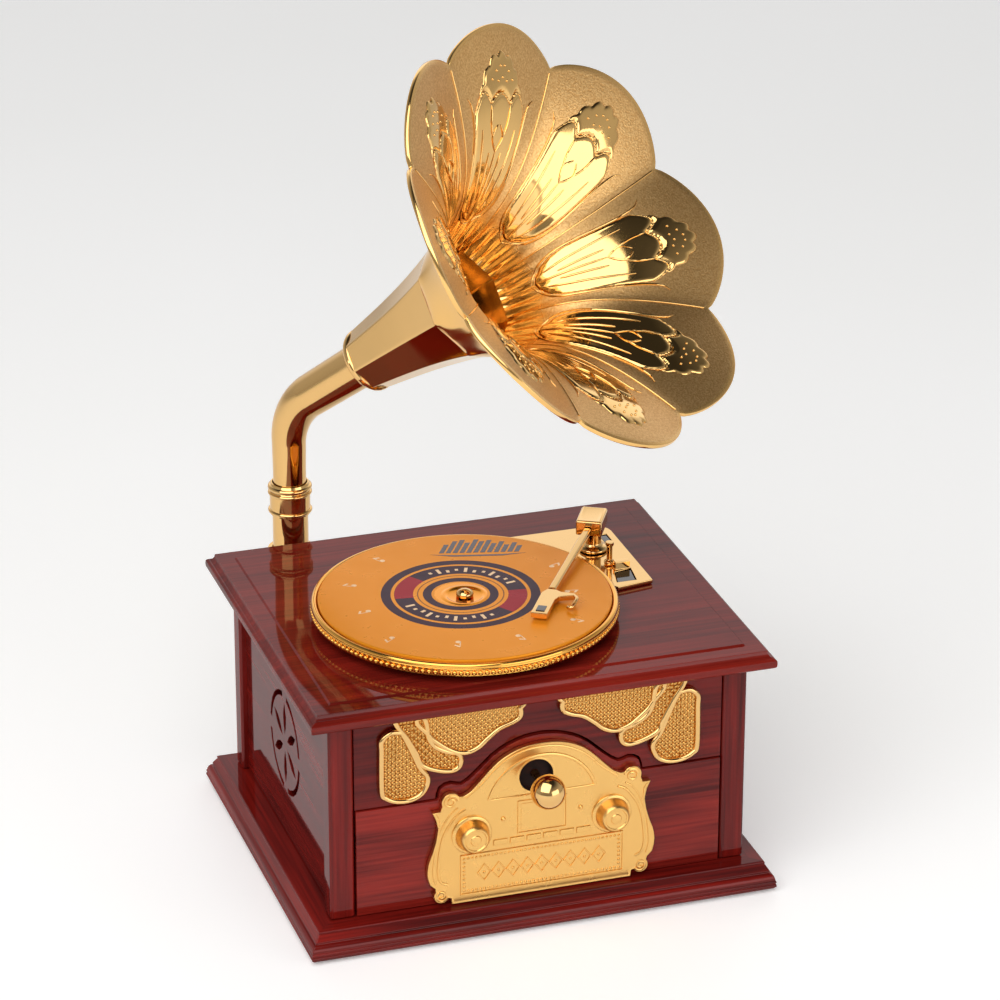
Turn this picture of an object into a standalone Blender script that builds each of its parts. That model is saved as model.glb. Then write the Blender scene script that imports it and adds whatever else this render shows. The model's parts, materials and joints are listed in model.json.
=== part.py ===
"""Wind-up music box in the form of a horn gramophone.

All sizes are in millimetres and become metres as each piece is made. The origin is the centre of the
underside, on the surface the box stands on: +X is its right, -Y its front and +Z is up. Every moving
piece hangs from an empty that stands on its joint's axis.
"""

import math

import bmesh
import bpy
from mathutils import Matrix, Vector

MM = 0.001
GAP = 0.3  # seat and running clearance between neighbours

# Case
BODY_WIDTH = 130.0
BODY_DEPTH = 108.0
FELT_THICK = 0.7
FELT_INSET = 4.0
BASE_HEIGHT = 8.6
BASE_OVERHANG = 8.0
POST_WIDTH = 7.5
POST_DEPTH = 7.0
POST_ROUND = 0.8
PANEL_THICK = 4.0
OVOLO_RADIUS = 1.6  # rounded step of the base moulding
OVOLO_RISE = 2.6
OVOLO_DROP = 6.2  # ovolo's foot below the ledge
LEDGE_STEP = 3.0
SIDE_RECESS = 2.0
REAR_RECESS = 2.0
FRONT_RECESS = 0.6
UPPER_PANEL_HEIGHT = 30.1
SLAB_THICK = 5.7
SLAB_OVERHANG = 6.8
SLAB_BORDER = 5.0
SLAB_BEVEL = 0.5
SHELF_THICK = 2.0
ROSETTE_RADIUS = 16.5
ROSETTE_HEIGHT = 31.1  # centre above the base's ledge
ROSETTE_BACK = 2.0  # centre behind the middle of the panel
ROSETTE_SLOT = 1.6
ROSETTE_LEAVES = 6
SPINDLE_HOLE_RADIUS = 4.0

# Drawer
DRAWER_FRONT_HEIGHT = 34.5
DRAWER_FRONT_THICK = 4.8
DRAWER_SIDE_GAP = 0.6
DRAWER_BOARD = 3.0
DRAWER_BOTTOM_THICK = 2.0
DRAWER_WALL_HEIGHT = 27.8
DRAWER_REAR_GAP = 1.0
LINING_THICK = 1.0
LINING_CORNER = 1.0
ARCH_GAP = 0.7

# Front plate, pull and grilles
PLATE_THICK = 1.5
PULL_X = -1.9
PULL_ABOVE_SEAM = 4.5
PULL_HOLE_RADIUS = 5.25
PULL_ROD_RADIUS = 1.0
PULL_REACH = 12.8  # ball centre in front of the drawer front
PULL_BALL_RADIUS = 5.25
PULL_BALL_BORE = 4.0  # depth of the rod's bore in the ball
PULL_COLLAR_RADIUS = 3.2
KNOB_X = 21.9
KNOB_DROP = 12.0  # centre below the seam
KNOB_RADIUS = 5.4
KNOB_CAP_RADIUS = 3.5
KNOB_HEIGHT = 2.9
TRIM_SUNK = 0.5  # raised work starts this deep in the plate
DIAL_DROP = 6.1
DIAL_RADIUS = 17.6
DIAL_LINE = 0.8
DIAL_HEIGHT = 0.45
WINDOW_HALF_WIDTH = 7.5
WINDOW_TOP_DROP = 3.2
WINDOW_HEIGHT = 10.7
WINDOW_RAISE = 0.4
KEYS = 6
KEY_PITCH = 5.2
KEY_SIZE = (4.4, 1.8)
KEY_HEIGHT = 18.6  # centres above the drawer front's foot
KEY_RAISE = 0.4
NAME_PANEL_HALF = 25.4
NAME_PANEL_LOW = 2.7
NAME_PANEL_HIGH = 15.7
NAME_PANEL_LINE = 1.6
NAME_PANEL_RAISE = 0.5
GRILLE_THICK = 1.6
GRILLE_RIM = 1.3
GRILLE_SINK = 0.8
GRILLE_STEP = 0.12  # each lobe lies this much lower than the one inside it

# Platter and record
AXIS_X = -9.2
AXIS_Y = -9.4
PLATTER_RADIUS = 46.8
PLATTER_LIFT = 2.1  # clear of the slab
PLATTER_THICK = 3.4
PLATTER_BEAD = 1.5
RECORD_RADIUS = 43.5
RECORD_THICK = 0.8
BOSS_RADIUS = 7.0
NUT_RADIUS = 2.6
SPINDLE_RADIUS = 1.5
NUT_HEIGHT = 2.2
NUT_BORE = 1.2

# Tonearm, measured from the platter's axis and along the arm
PIVOT_FROM_AXIS = (51.6, 30.6)
ARM_AZIMUTH = -124.3
ARM_PARK = 40.0  # swing from the photographed place to the arm rest
ARM_SHAFT_RADIUS = 1.3
ARM_SHAFT_COLLAR = 1.1
PEDESTAL_RADIUS = 2.5
PEDESTAL_FLANGE_RADIUS = 4.5
PEDESTAL_HEIGHT = 7.3
HEAD_WIDTH = 8.2
HEAD_LENGTH = 11.8
HEAD_HEIGHT = 4.8
HEAD_AZIMUTH = -118.9
HEAD_EDGE = 0.8
HEAD_BORE = 3.0
HEAD_ARM_HEIGHT = 1.8  # arm's axis above the head's underside
ARM_WIDTH = 2.4
ARM_HEIGHT = 2.2
ARM_START = 7.4
ARM_END = 47.8
ARM_DROP = 2.0
SHELL_WIDTH = 5.0
SHELL_LENGTH = 17.4
SHELL_THICK = 1.7
SHELL_TURN = 2.9
CARTRIDGE_LENGTH = 6.0
DECK_THICK = 1.3
DECK_ARC_RADIUS = 47.3
DECK_LEFT = 24.4  # deck's edges from the pivot
DECK_RIGHT = 10.1
DECK_BACK = 16.8
DECK_FRONT = 26.4
DECK_NOSE = (1.8, 28.4)
DECK_CORNER = 5.0
FRONT_WINDOW = ((-1.0, -24.9), (5.4, -24.9), (6.5, -16.4), (0.7, -17.6))
REAR_WINDOW = ((5.2, 3.8), (7.8, 3.8), (7.8, 9.8), (5.2, 9.8))
DECK_LEDGE = (3.9, -15.1)
DECK_LEDGE_SIZE = (4.8, 2.6, 2.4)
REST_WIDTH = 2.6
REST_FROM_PIVOT = 11.8

# Movement: heights are measured down from the slab's underside
BEDPLATE_THICK = 3.0
BEDPLATE_LEFT = 13.0  # edges from the platter's axis
BEDPLATE_RIGHT = 46.0
BEDPLATE_FRONT = 29.0
BEDPLATE_REAR = 19.0
MOVEMENT_SCREWS = ((-9.0, 15.0), (-9.0, -25.0), (42.0, -25.0))
SCREW_COVER = 1.8  # wood left over a movement screw
MOVEMENT_DEPTH = 27.1
ARBOR_RADIUS = 2.5
BARREL_RADIUS = 10.5
BARREL_WALL = 1.0
BARREL_HEIGHT = 9.5
SPRING_TURNS = 4
SPRING_THICK = 0.5
CYLINDER_RADIUS = 6.5
CYLINDER_SHAFT_RADIUS = 1.2
CYLINDER_DROP = 19.1
GOVERNOR_OUT = 6.7  # governor shaft behind the cylinder
GOVERNOR_DROP = 13.5
GOVERNOR_SHAFT_RADIUS = 0.8
WORM_OUT = 4.6  # worm axis behind the governor shaft
WORM_PITCH = 1.131
COMB_TEETH = 18
COMB_PITCH = 1.0
COMB_THICK = 1.0
SCREW_SHANK_RADIUS = 1.4
SCREW_HEAD_RADIUS = 2.8
SMALL_SHANK_RADIUS = 1.0
SMALL_HEAD_RADIUS = 2.0
SMALL_HEAD_HEIGHT = 1.2
SCREW_HEAD_HEIGHT = 1.6
CROWN_TEETH = 36
CROWN_DISC = 1.6
CROWN_TOOTH = 1.2
CROWN_INNER = 8.0
CROWN_OUTER = 10.4
CYLINDER_START = 13.2  # places along the cylinder, from the platter's axis
CYLINDER_LENGTH = 19.0
PINION_X = 8.0
PINION_WIDTH = 2.4
LUG_THICK = 1.6
LUG_HALF_DEPTH = 3.0
LEFT_LUG_X = 11.0
WHEEL_X = 33.0
WHEEL_WIDTH = 1.6
RIGHT_LUG_X = 35.3
FRAME_NEAR_X = 35.2
FRAME_FAR_X = 39.8
FRAME_THICK = 1.0
FRAME_DEPTH = (4.0, 9.0)
WORM_X = 38.0
COMB_ROOT = 17.0
COMB_TIP = 7.15
COMB_BACK = 27.0
COMB_SCREW_BACK = 5.7
FAN_FOOT_DROP = 23.8
BRAKE_DROP = 17.5
BRAKE_RADIUS = 2.2
FAN_BLADE = (8.4, 0.6, 4.6)
LEVER_LENGTH = 23.0
LEVER_DROP = 17.6
LEVER_THICK = 1.2
BRAKE_AZIMUTH = -134.0  # lever's angle as it meets the brake disc

# Horn
TUBE_INBOARD = 23.3  # tube axis in from the case's left side
TUBE_BEHIND_SLAB = 8.8
TUBE_RADIUS = 5.65
TUBE_WALL = 0.8
ELBOW_DROP = 17.0  # elbow's axis below the slab
ELBOW_WALL = 1.4
ELBOW_BEND = 9.0
FLANGE_THICK = 2.5
FLANGE_HALF_LENGTH = 5.6
FLANGE_END_RADIUS = 8.6
FLANGE_SCREW_OUT = 10.9
SOCKET_DROP = 1.0
SOCKET_DEPTH = 5.0
COLLAR_RADIUS = 7.0
COLLAR_LIFT = 5.5
COLLAR_HEIGHT = 10.4
HORN_TUBE_RADIUS = 5.25
HORN_TUBE_END_RADIUS = 7.2
BEND_HEIGHT = 40.45  # bend point above the slab
BEND_RADIUS = 22.0
HORN_AZIMUTH = -47.66
HORN_ELEVATION = 37.21
NECK_START = 33.6
NECK_END = 80.0
NECK_RADIUS = 9.6
NECK_WALL = 1.0
NECK_RING_RADIUS = 9.95
NECK_RING_WIDTH = 3.0
NECK_SOCKET_DEPTH = 6.0
BELL_THROAT_RADIUS = 18.0
BELL_WALL = 1.6
BELL_NOTCH_RADIUS = 61.4
BELL_NOTCH_REACH = 42.7
PETAL_RADIUS = 7.0  # petal tips beyond the notches
PETAL_REACH = 5.6
PETALS = 8
SEAM_TURN = 3.45  # first seam's angle round the horn's axis

# Levels and places that follow from the sizes above
BASE_BOTTOM = FELT_THICK + GAP
LEDGE = BASE_BOTTOM + BASE_HEIGHT
FLOOR = LEDGE + GAP
SEAM = FLOOR + DRAWER_FRONT_HEIGHT
PANEL_BOTTOM = SEAM + GAP
BODY_TOP = PANEL_BOTTOM + UPPER_PANEL_HEIGHT
SLAB_BOTTOM = BODY_TOP + GAP
SLAB_TOP = SLAB_BOTTOM + SLAB_THICK
SIDE = BODY_WIDTH / 2
BACK = BODY_DEPTH / 2
BAY_SIDE = SIDE - POST_WIDTH
SIDE_PANEL_FACE = SIDE - SIDE_RECESS
REAR_INSIDE = BACK - REAR_RECESS - PANEL_THICK
FRONT_FACE = -BACK + FRONT_RECESS
DRAWER_INSIDE = -BACK + DRAWER_FRONT_THICK
DRAWER_BACK = REAR_INSIDE - DRAWER_REAR_GAP
DECK_BOTTOM = SLAB_TOP + GAP
DECK_TOP = DECK_BOTTOM + DECK_THICK
PIVOT_X = AXIS_X + PIVOT_FROM_AXIS[0]
PIVOT_Y = AXIS_Y + PIVOT_FROM_AXIS[1]
PEDESTAL_BOTTOM = DECK_TOP + GAP
HEAD_BOTTOM = PEDESTAL_BOTTOM + PEDESTAL_HEIGHT
PLATTER_BOTTOM = SLAB_TOP + PLATTER_LIFT
RECORD_BOTTOM = PLATTER_BOTTOM + PLATTER_THICK + GAP
RECORD_TOP = RECORD_BOTTOM + RECORD_THICK
BEAD_TOP = PLATTER_BOTTOM + PLATTER_THICK + PLATTER_BEAD
BEDPLATE_BOTTOM = SLAB_BOTTOM - GAP - BEDPLATE_THICK
BARREL_BOTTOM = BEDPLATE_BOTTOM - GAP - BARREL_HEIGHT
SHELF_TOP = SLAB_BOTTOM - MOVEMENT_DEPTH
CYLINDER_Z = SLAB_BOTTOM - CYLINDER_DROP
GOVERNOR_Z = SLAB_BOTTOM - GOVERNOR_DROP
TUBE_X = -SIDE + TUBE_INBOARD
TUBE_Y = BACK + SLAB_OVERHANG + TUBE_BEHIND_SLAB
BEND_Z = SLAB_TOP + BEND_HEIGHT
ELBOW_Z = SLAB_BOTTOM - ELBOW_DROP
SOCKET_TOP = SLAB_BOTTOM - SOCKET_DROP

ALONG_X = Matrix(((0, 0, 1), (1, 0, 0), (0, 1, 0)))  # local Z becomes +X, local X becomes +Y
TO_FRONT = Matrix.Rotation(math.radians(90), 3, "X")  # local Z becomes -Y
TO_BACK = Matrix.Rotation(math.radians(-90), 3, "X")  # local Z becomes +Y


def clear_scene():
    for obj in list(bpy.data.objects):
        bpy.data.objects.remove(obj, do_unlink=True)


# Materials


def material(name, colour, roughness, metallic=0.0):
    finish = bpy.data.materials.new(name)
    finish.use_nodes = True
    shader = finish.node_tree.nodes["Principled BSDF"]
    shader.inputs["Base Color"].default_value = (*colour, 1.0)
    shader.inputs["Roughness"].default_value = roughness
    shader.inputs["Metallic"].default_value = metallic
    return finish


# Objects


def add_object(name, bm, at, parent=None, rotation=None):
    """Object from a mesh drawn in millimetres about its own origin, standing at a place in the part."""
    bmesh.ops.scale(bm, vec=(MM, MM, MM), verts=bm.verts)
    bmesh.ops.recalc_face_normals(bm, faces=bm.faces)
    mesh = bpy.data.meshes.new(name)
    bm.to_mesh(mesh)
    bm.free()
    obj = bpy.data.objects.new(name, mesh)
    bpy.context.collection.objects.link(obj)
    obj.location = Vector(at) * MM
    if parent:
        obj.parent = parent
        obj.location -= parent.location
    if rotation:
        obj.rotation_euler = rotation
    return obj


def piece(name, bm, finish, at, parent=None, rotation=None, smooth=40):
    obj = add_object(name, bm, at, parent, rotation)
    obj.data.materials.append(finish)
    if smooth:
        obj.data.shade_smooth()
        obj.data.set_sharp_from_angle(angle=math.radians(smooth))
    return obj


def empty(name, at):
    obj = bpy.data.objects.new(name, None)
    bpy.context.collection.objects.link(obj)
    obj.location = Vector(at) * MM
    return obj


def combine(target, operation, bm, at):
    """Fuse a shape to a piece (UNION) or cut it out (DIFFERENCE); the shape stays as a hidden guide."""
    name = f"{target.name}_{operation.lower()}_{len(target.modifiers)}"
    guide = add_object(name, bm, at)
    guide.hide_render = True
    guide.display_type = "WIRE"
    modifier = target.modifiers.new(name, "BOOLEAN")
    modifier.operation = operation
    modifier.object = guide


# Shapes


def block(width, depth, height, corner=0.0, z=0.0):
    """Box centred in plan, standing at height z, with rounded upright edges if corner is given."""
    bm = bmesh.new()
    size = Matrix.Diagonal((width, depth, height, 1))
    bmesh.ops.create_cube(bm, size=1, matrix=Matrix.Translation((0, 0, z + height / 2)) @ size)
    if corner:
        upright = [e for e in bm.edges if abs(e.verts[0].co.z - e.verts[1].co.z) > height / 2]
        bmesh.ops.bevel(bm, geom=upright, offset=corner, affect="EDGES", segments=2, profile=0.5)
    return bm


def span(x0, x1, y0, y1, z0, z1):
    """Box between two corners."""
    bm = block(x1 - x0, y1 - y0, z1 - z0, z=z0)
    bmesh.ops.translate(bm, verts=bm.verts, vec=((x0 + x1) / 2, (y0 + y1) / 2, 0))
    return bm


def merged(*shapes):
    """One mesh holding several separate shapes."""
    bm = bmesh.new()
    for shape in shapes:
        mesh = bpy.data.meshes.new("shape")
        shape.to_mesh(mesh)
        shape.free()
        bm.from_mesh(mesh)
        bpy.data.meshes.remove(mesh)
    return bm


def turn(bm, matrix, move=(0, 0, 0)):
    bmesh.ops.transform(bm, matrix=Matrix.Translation(move) @ matrix.to_4x4(), verts=bm.verts)
    return bm


def shift(bm, x, y, z):
    bmesh.ops.translate(bm, verts=bm.verts, vec=(x, y, z))
    return bm


def plate(outline, thickness, holes=()):
    """Flat plate from z = 0 upwards: an outline in plan with any holes."""
    bm = bmesh.new()
    edges = []
    for loop in (outline, *holes):
        verts = [bm.verts.new((x, y, 0)) for x, y in loop]
        edges += [bm.edges.new((verts[i - 1], verts[i])) for i in range(len(verts))]
    bmesh.ops.triangle_fill(bm, use_beauty=True, use_dissolve=False, edges=edges, normal=(0, 0, 1))
    raised = bmesh.ops.extrude_face_region(bm, geom=bm.faces[:])["geom"]
    top = [v for v in raised if isinstance(v, bmesh.types.BMVert)]
    bmesh.ops.translate(bm, verts=top, vec=(0, 0, thickness))
    bmesh.ops.recalc_face_normals(bm, faces=bm.faces)
    return bm


def tray(outline, thickness, rim, sink):
    """Plate whose top is sunk inside a raised rim."""
    lip = drawn_in(outline, rim)
    floor = drawn_in(outline, rim + sink / 2)
    levels = ((outline, 0), (outline, thickness), (lip, thickness), (floor, thickness - sink))
    return loft([[(x, y, z) for x, y in path] for path, z in levels])


def turned(profile, steps=32):
    """Solid of revolution about Z from (radius, height) points, closed round a bore or open at the axis."""
    bm = bmesh.new()
    verts = [bm.verts.new((r, 0, z)) for r, z in profile]
    edges = [bm.edges.new(pair) for pair in zip(verts, verts[1:])]
    if profile[0][0] > 0:
        edges.append(bm.edges.new((verts[-1], verts[0])))
    bmesh.ops.spin(
        bm, geom=verts + edges, axis=(0, 0, 1), cent=(0, 0, 0), angle=math.tau, steps=steps, use_merge=True
    )
    bmesh.ops.remove_doubles(bm, verts=bm.verts, dist=0.0001)
    bmesh.ops.recalc_face_normals(bm, faces=bm.faces)
    return bm


def rod(radius, low, high, steps=12):
    """Plain round rod or cutter standing on Z."""
    return turned([(0, low), (radius, low), (radius, high), (0, high)], steps)


def loft(rings, closed=False):
    """Skin over rings of equal counts, capped at its ends or, if closed, joined from last to first."""
    bm = bmesh.new()
    rows = [[bm.verts.new(point) for point in ring] for ring in rings]
    following = rows[1:] + rows[:1] if closed else rows[1:]
    for near, far in zip(rows, following):
        for i in range(len(near)):
            bm.faces.new((near[i - 1], near[i], far[i], far[i - 1]))
    if not closed:
        bm.faces.new(rows[0])
        bm.faces.new(rows[-1])
    bmesh.ops.recalc_face_normals(bm, faces=bm.faces)
    return bm


def moulding(width, depth, profile):
    """Mitred board: each profile point is the growth beyond the width and depth, and a height."""
    rings = []
    for out, z in profile:
        x = width / 2 + out
        y = depth / 2 + out
        rings.append([(-x, -y, z), (x, -y, z), (x, y, z), (-x, y, z)])
    return loft(rings)


# Outlines


def arc(x, y, radius, start, end, steps):
    """Points on an arc, angles in degrees, with both ends."""
    angles = [math.radians(start + (end - start) * i / steps) for i in range(steps + 1)]
    return [(x + radius * math.cos(a), y + radius * math.sin(a)) for a in angles]


def polar(x, y, radius, azimuth):
    a = math.radians(azimuth)
    return (x + radius * math.cos(a), y + radius * math.sin(a))


def circle(radius, x=0.0, y=0.0, steps=16):
    return arc(x, y, radius, 0, 360, steps)[:-1]


def flowing(points, steps=3):
    """Smooth open curve through points, as straight pieces."""
    ends = [points[0], *points, points[-1]]
    path = []
    for p0, p1, p2, p3 in zip(ends, ends[1:], ends[2:], ends[3:]):
        for i in range(steps):
            t = i / steps
            weights = (-t + 2 * t**2 - t**3, 2 - 5 * t**2 + 3 * t**3, t + 4 * t**2 - 3 * t**3, t**3 - t**2)
            path.append(tuple(sum(w * p[k] for w, p in zip(weights, (p0, p1, p2, p3))) / 2 for k in (0, 1)))
    path.append(points[-1])
    return path


def both_sides(half):
    """Closed outline from its right half, listed from the bottom up to the centre line."""
    left = [(-x, z) for x, z in reversed(half) if x > 0]
    return half + left


def grown(path, distance):
    """Open path moved sideways, to its right as it runs."""
    moved = []
    for i, point in enumerate(path):
        before = Vector(path[max(i - 1, 0)])
        after = Vector(path[min(i + 1, len(path) - 1)])
        along = (after - before).normalized()
        moved.append((point[0] + along.y * distance, point[1] - along.x * distance))
    return moved


def drawn_in(outline, distance):
    """Closed outline moved inwards, whichever way it runs."""
    count = len(outline)
    area = sum(outline[i - 1][0] * outline[i][1] - outline[i][0] * outline[i - 1][1] for i in range(count))
    inward = math.copysign(distance, area)
    moved = []
    for i, point in enumerate(outline):
        before = (Vector(point) - Vector(outline[i - 1])).normalized()
        after = (Vector(outline[(i + 1) % count]) - Vector(point)).normalized()
        along = (before + after).normalized()
        stretch = inward / max(along.dot(after), 0.5)
        moved.append((point[0] - along.y * stretch, point[1] + along.x * stretch))
    return moved


def gear_outline(teeth, root, tip, root_share, tip_share, turned_by=0.0):
    """Gear with straight-sided teeth, the first one centred at turned_by degrees."""
    pitch = 360 / teeth
    outline = []
    for i in range(teeth):
        centre = turned_by + i * pitch
        for share, radius in ((-root_share, root), (-tip_share, tip), (tip_share, tip), (root_share, root)):
            outline.append(polar(0, 0, radius, centre + share * pitch / 2))
    return outline


# Case


def base_profile():
    nose = BASE_OVERHANG
    foot = BASE_HEIGHT - OVOLO_DROP
    quarter = arc(0, 0, OVOLO_RADIUS, 0, 90, 4)
    ovolo = [(nose - OVOLO_RADIUS + x, foot + y * OVOLO_RISE / OVOLO_RADIUS) for x, y in quarter]
    groove = [(nose - 1.8, BASE_HEIGHT - 3.4), (nose - 1.4, BASE_HEIGHT - 3.0)]
    ledge = [(nose - LEDGE_STEP, BASE_HEIGHT - 0.6), (nose - LEDGE_STEP, BASE_HEIGHT)]
    return [(nose - 0.4, 0), (nose, 0.6), *ovolo, *groove, *ledge]


def slab_profile():
    nose = SLAB_OVERHANG
    bead = [(nose - 0.6, 0), (nose - 0.1, 0.5), (nose, 1.5), (nose - 0.1, 2.5), (nose - 0.7, 3.0)]
    border = SLAB_THICK - SLAB_BEVEL
    steps = (0.1, 0.6, 1.1, 1.57)
    cove = [(nose - 0.9 - 1.6 * math.sin(a), border - (border - 3.1) * math.cos(a)) for a in steps]
    field = nose - 2.5 - SLAB_BORDER
    return bead + cove + [(field, border), (field - SLAB_BEVEL, SLAB_THICK)]


def rosette_holes(x, y):
    """Carved sound hole: a ring of four slots round pointed leaves."""
    holes = []
    inner = ROSETTE_RADIUS - ROSETTE_SLOT
    for quarter in range(4):
        start = 90 * quarter + 8
        outer_arc = arc(x, y, ROSETTE_RADIUS, start, start + 74, 6)
        inner_arc = arc(x, y, inner, start + 74, start, 6)
        holes.append(outer_arc + inner_arc)
    leaf_root = ROSETTE_SLOT * 2
    leaf_tip = inner - ROSETTE_SLOT
    for i in range(ROSETTE_LEAVES):
        middle = math.radians((i + 0.5) * 360 / ROSETTE_LEAVES)
        leaf = []
        for side in (1, -1):
            for t in (0.0, 0.25, 0.6, 0.85) if side > 0 else (1.0, 0.85, 0.6, 0.25):
                along = leaf_root + (leaf_tip - leaf_root) * t
                across = side * ROSETTE_SLOT * math.sin(math.pi * t)
                leaf.append((x + along * math.cos(middle) - across * math.sin(middle),
                             y + along * math.sin(middle) + across * math.cos(middle)))
        holes.append(leaf)
    return holes


def arch_half():
    """Right half of the drawer front's arch, heights from the seam: round the plate's ear, then the dome."""
    ear_and_dome = [(31.6, 0.2), (30.8, 3.7), (27.7, 4.8), (24.3, 4.0), (19.6, 7.4), (14.9, 11.8),
                    (10.0, 14.8), (4.5, 16.5), (0.0, 16.9)]
    return flowing(ear_and_dome, 2)


def make_case(wood, felt):
    width = 2 * (SIDE + BASE_OVERHANG - FELT_INSET)
    depth = 2 * (BACK + BASE_OVERHANG - FELT_INSET)
    piece("felt_sheet", block(width, depth, FELT_THICK, 2.0), felt, (0, 0, 0))
    base = moulding(BODY_WIDTH, BODY_DEPTH, base_profile())
    piece("base_moulding", base, wood, (0, 0, BASE_BOTTOM), smooth=35)
    height = BODY_TOP - FLOOR
    for end, y in (("front", -BACK + POST_DEPTH / 2), ("rear", BACK - POST_DEPTH / 2)):
        for hand, x in (("left", -SIDE + POST_WIDTH / 2), ("right", SIDE - POST_WIDTH / 2)):
            post = block(POST_WIDTH, POST_DEPTH, height, POST_ROUND)
            piece(f"{end}_{hand}_post", post, wood, (x, y, FLOOR))

    half = BACK - POST_DEPTH - GAP
    outline = [(-half, 0), (half, 0), (half, height), (-half, height)]
    for hand, x in (("left", -SIDE_PANEL_FACE), ("right", SIDE_PANEL_FACE - PANEL_THICK)):
        panel = turn(plate(outline, PANEL_THICK, rosette_holes(ROSETTE_BACK, ROSETTE_HEIGHT)), ALONG_X)
        piece(f"{hand}_panel", panel, wood, (x, 0, FLOOR), smooth=0)

    panel_half = BAY_SIDE - GAP
    rear = piece("rear_panel", block(2 * panel_half, PANEL_THICK, height), wood,
                 (0, BACK - REAR_RECESS - PANEL_THICK / 2, FLOOR), smooth=0)
    bores = [turn(rod(SMALL_SHANK_RADIUS + GAP, -1, PANEL_THICK + 1), TO_BACK, (x, REAR_INSIDE, ELBOW_Z))
             for x in flange_screw_places()]
    combine(rear, "DIFFERENCE", merged(*bores), (0, 0, 0))

    arch = [(x, z - GAP) for x, z in grown(arch_half(), ARCH_GAP)]
    arch = [(arch[0][0], 0.0)] + [point for point in arch if point[1] > 0.5]
    arch[-1] = (0.0, arch[-1][1])
    mirrored = [(-x, z) for x, z in arch[:-1]]
    top = [(panel_half, UPPER_PANEL_HEIGHT), (-panel_half, UPPER_PANEL_HEIGHT)]
    outline = [(-panel_half, 0), *mirrored, *reversed(arch), (panel_half, 0), *top]
    piece("upper_front_panel", turn(plate(outline, PANEL_THICK), TO_FRONT), wood,
          (0, FRONT_FACE + PANEL_THICK, PANEL_BOTTOM), smooth=0)

    wide = SIDE_PANEL_FACE - PANEL_THICK - GAP
    corner = BACK - POST_DEPTH - GAP
    front = DRAWER_INSIDE + GAP
    rear_edge = REAR_INSIDE - GAP
    right = [(panel_half, front), (panel_half, -corner), (wide, -corner), (wide, corner),
             (panel_half, corner), (panel_half, rear_edge)]
    outline = right + [(-x, y) for x, y in reversed(right)]
    piece("shelf_board", plate(outline, SHELF_THICK), wood, (0, 0, SHELF_TOP - SHELF_THICK), smooth=0)

    board = moulding(BODY_WIDTH, BODY_DEPTH, slab_profile())
    slab = piece("top_slab", board, wood, (0, 0, SLAB_BOTTOM), smooth=35)
    through = SLAB_THICK + 2
    holes = [shift(rod(SPINDLE_HOLE_RADIUS, 0, through, 24), AXIS_X, AXIS_Y, -1),
             shift(rod(ARM_SHAFT_RADIUS + GAP, 0, through), PIVOT_X, PIVOT_Y, -1)]
    for x, y in movement_screw_places():
        holes.append(shift(rod(SCREW_SHANK_RADIUS + GAP, 0, screw_reach() + GAP + 1), x, y, -1))
    combine(slab, "DIFFERENCE", merged(*holes), (0, 0, SLAB_BOTTOM))


# Drawer


def plate_half():
    """Right half of the front plate's outline: scroll, bulge, leaf, ear and dome."""
    low = [(28.2, 0.0), (28.4, 2.0), *arc(31.3, 3.3, 2.4, 205, 400, 5), (33.4, 6.0), (35.0, 7.6),
           (35.7, 10.9), (35.3, 14.6), (33.9, 18.6), (32.9, 22.1)]
    high = [(32.3, -8.6), (33.0, -5.4), (34.1, -3.0), (31.6, -2.9), *arc(28.3, -0.2, 2.9, -20, 150, 6),
            (24.6, 1.2), (22.5, 2.2), (19.6, 5.0), (16.2, 8.6), (12.9, 11.4), (8.6, 13.6), (4.2, 14.8),
            (0.0, 15.1)]
    return [(x, FLOOR + z) for x, z in low] + [(x, SEAM + z) for x, z in high]


def plate_trim():
    """Raised work on the front plate, from its front face: knobs, dial, window, keys and name panel."""
    sunk = TRIM_SUNK
    knob_z = SEAM - KNOB_DROP
    shapes = []
    for x in (-KNOB_X, KNOB_X):
        profile = [(0, -sunk), (KNOB_RADIUS, -sunk), (KNOB_RADIUS, 0.5), (KNOB_RADIUS - 0.8, 1.0),
                   (KNOB_CAP_RADIUS + 0.6, KNOB_HEIGHT - 0.6), (KNOB_CAP_RADIUS, KNOB_HEIGHT - 0.4),
                   (KNOB_CAP_RADIUS - 0.4, KNOB_HEIGHT), (0, KNOB_HEIGHT)]
        shapes.append(shift(turned(profile, 16), x, knob_z, 0))
    dial = arc(0, -DIAL_DROP, DIAL_RADIUS, 15.5, 164.5, 12)
    inner = arc(0, -DIAL_DROP, DIAL_RADIUS - DIAL_LINE, 18.5, 161.5, 12)
    shapes.append(shift(plate(dial, DIAL_HEIGHT + sunk, [inner]), 0, SEAM, -sunk))
    window = block(2 * WINDOW_HALF_WIDTH, WINDOW_HEIGHT, WINDOW_RAISE + sunk)
    shapes.append(shift(window, 0, SEAM - WINDOW_TOP_DROP - WINDOW_HEIGHT / 2, -sunk))
    for i in range(KEYS):
        x = (i - (KEYS - 1) / 2) * KEY_PITCH
        shapes.append(shift(block(*KEY_SIZE, KEY_RAISE + sunk), x, FLOOR + KEY_HEIGHT, -sunk))
    half, low, high = NAME_PANEL_HALF, NAME_PANEL_LOW, NAME_PANEL_HIGH
    frame = [(-half, low), (half, low), (half, high), (-half, high)]
    field = drawn_in(frame, NAME_PANEL_LINE)
    shapes.append(shift(plate(frame, NAME_PANEL_RAISE + sunk, [field]), 0, FLOOR, -sunk))
    return merged(*shapes)


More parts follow.
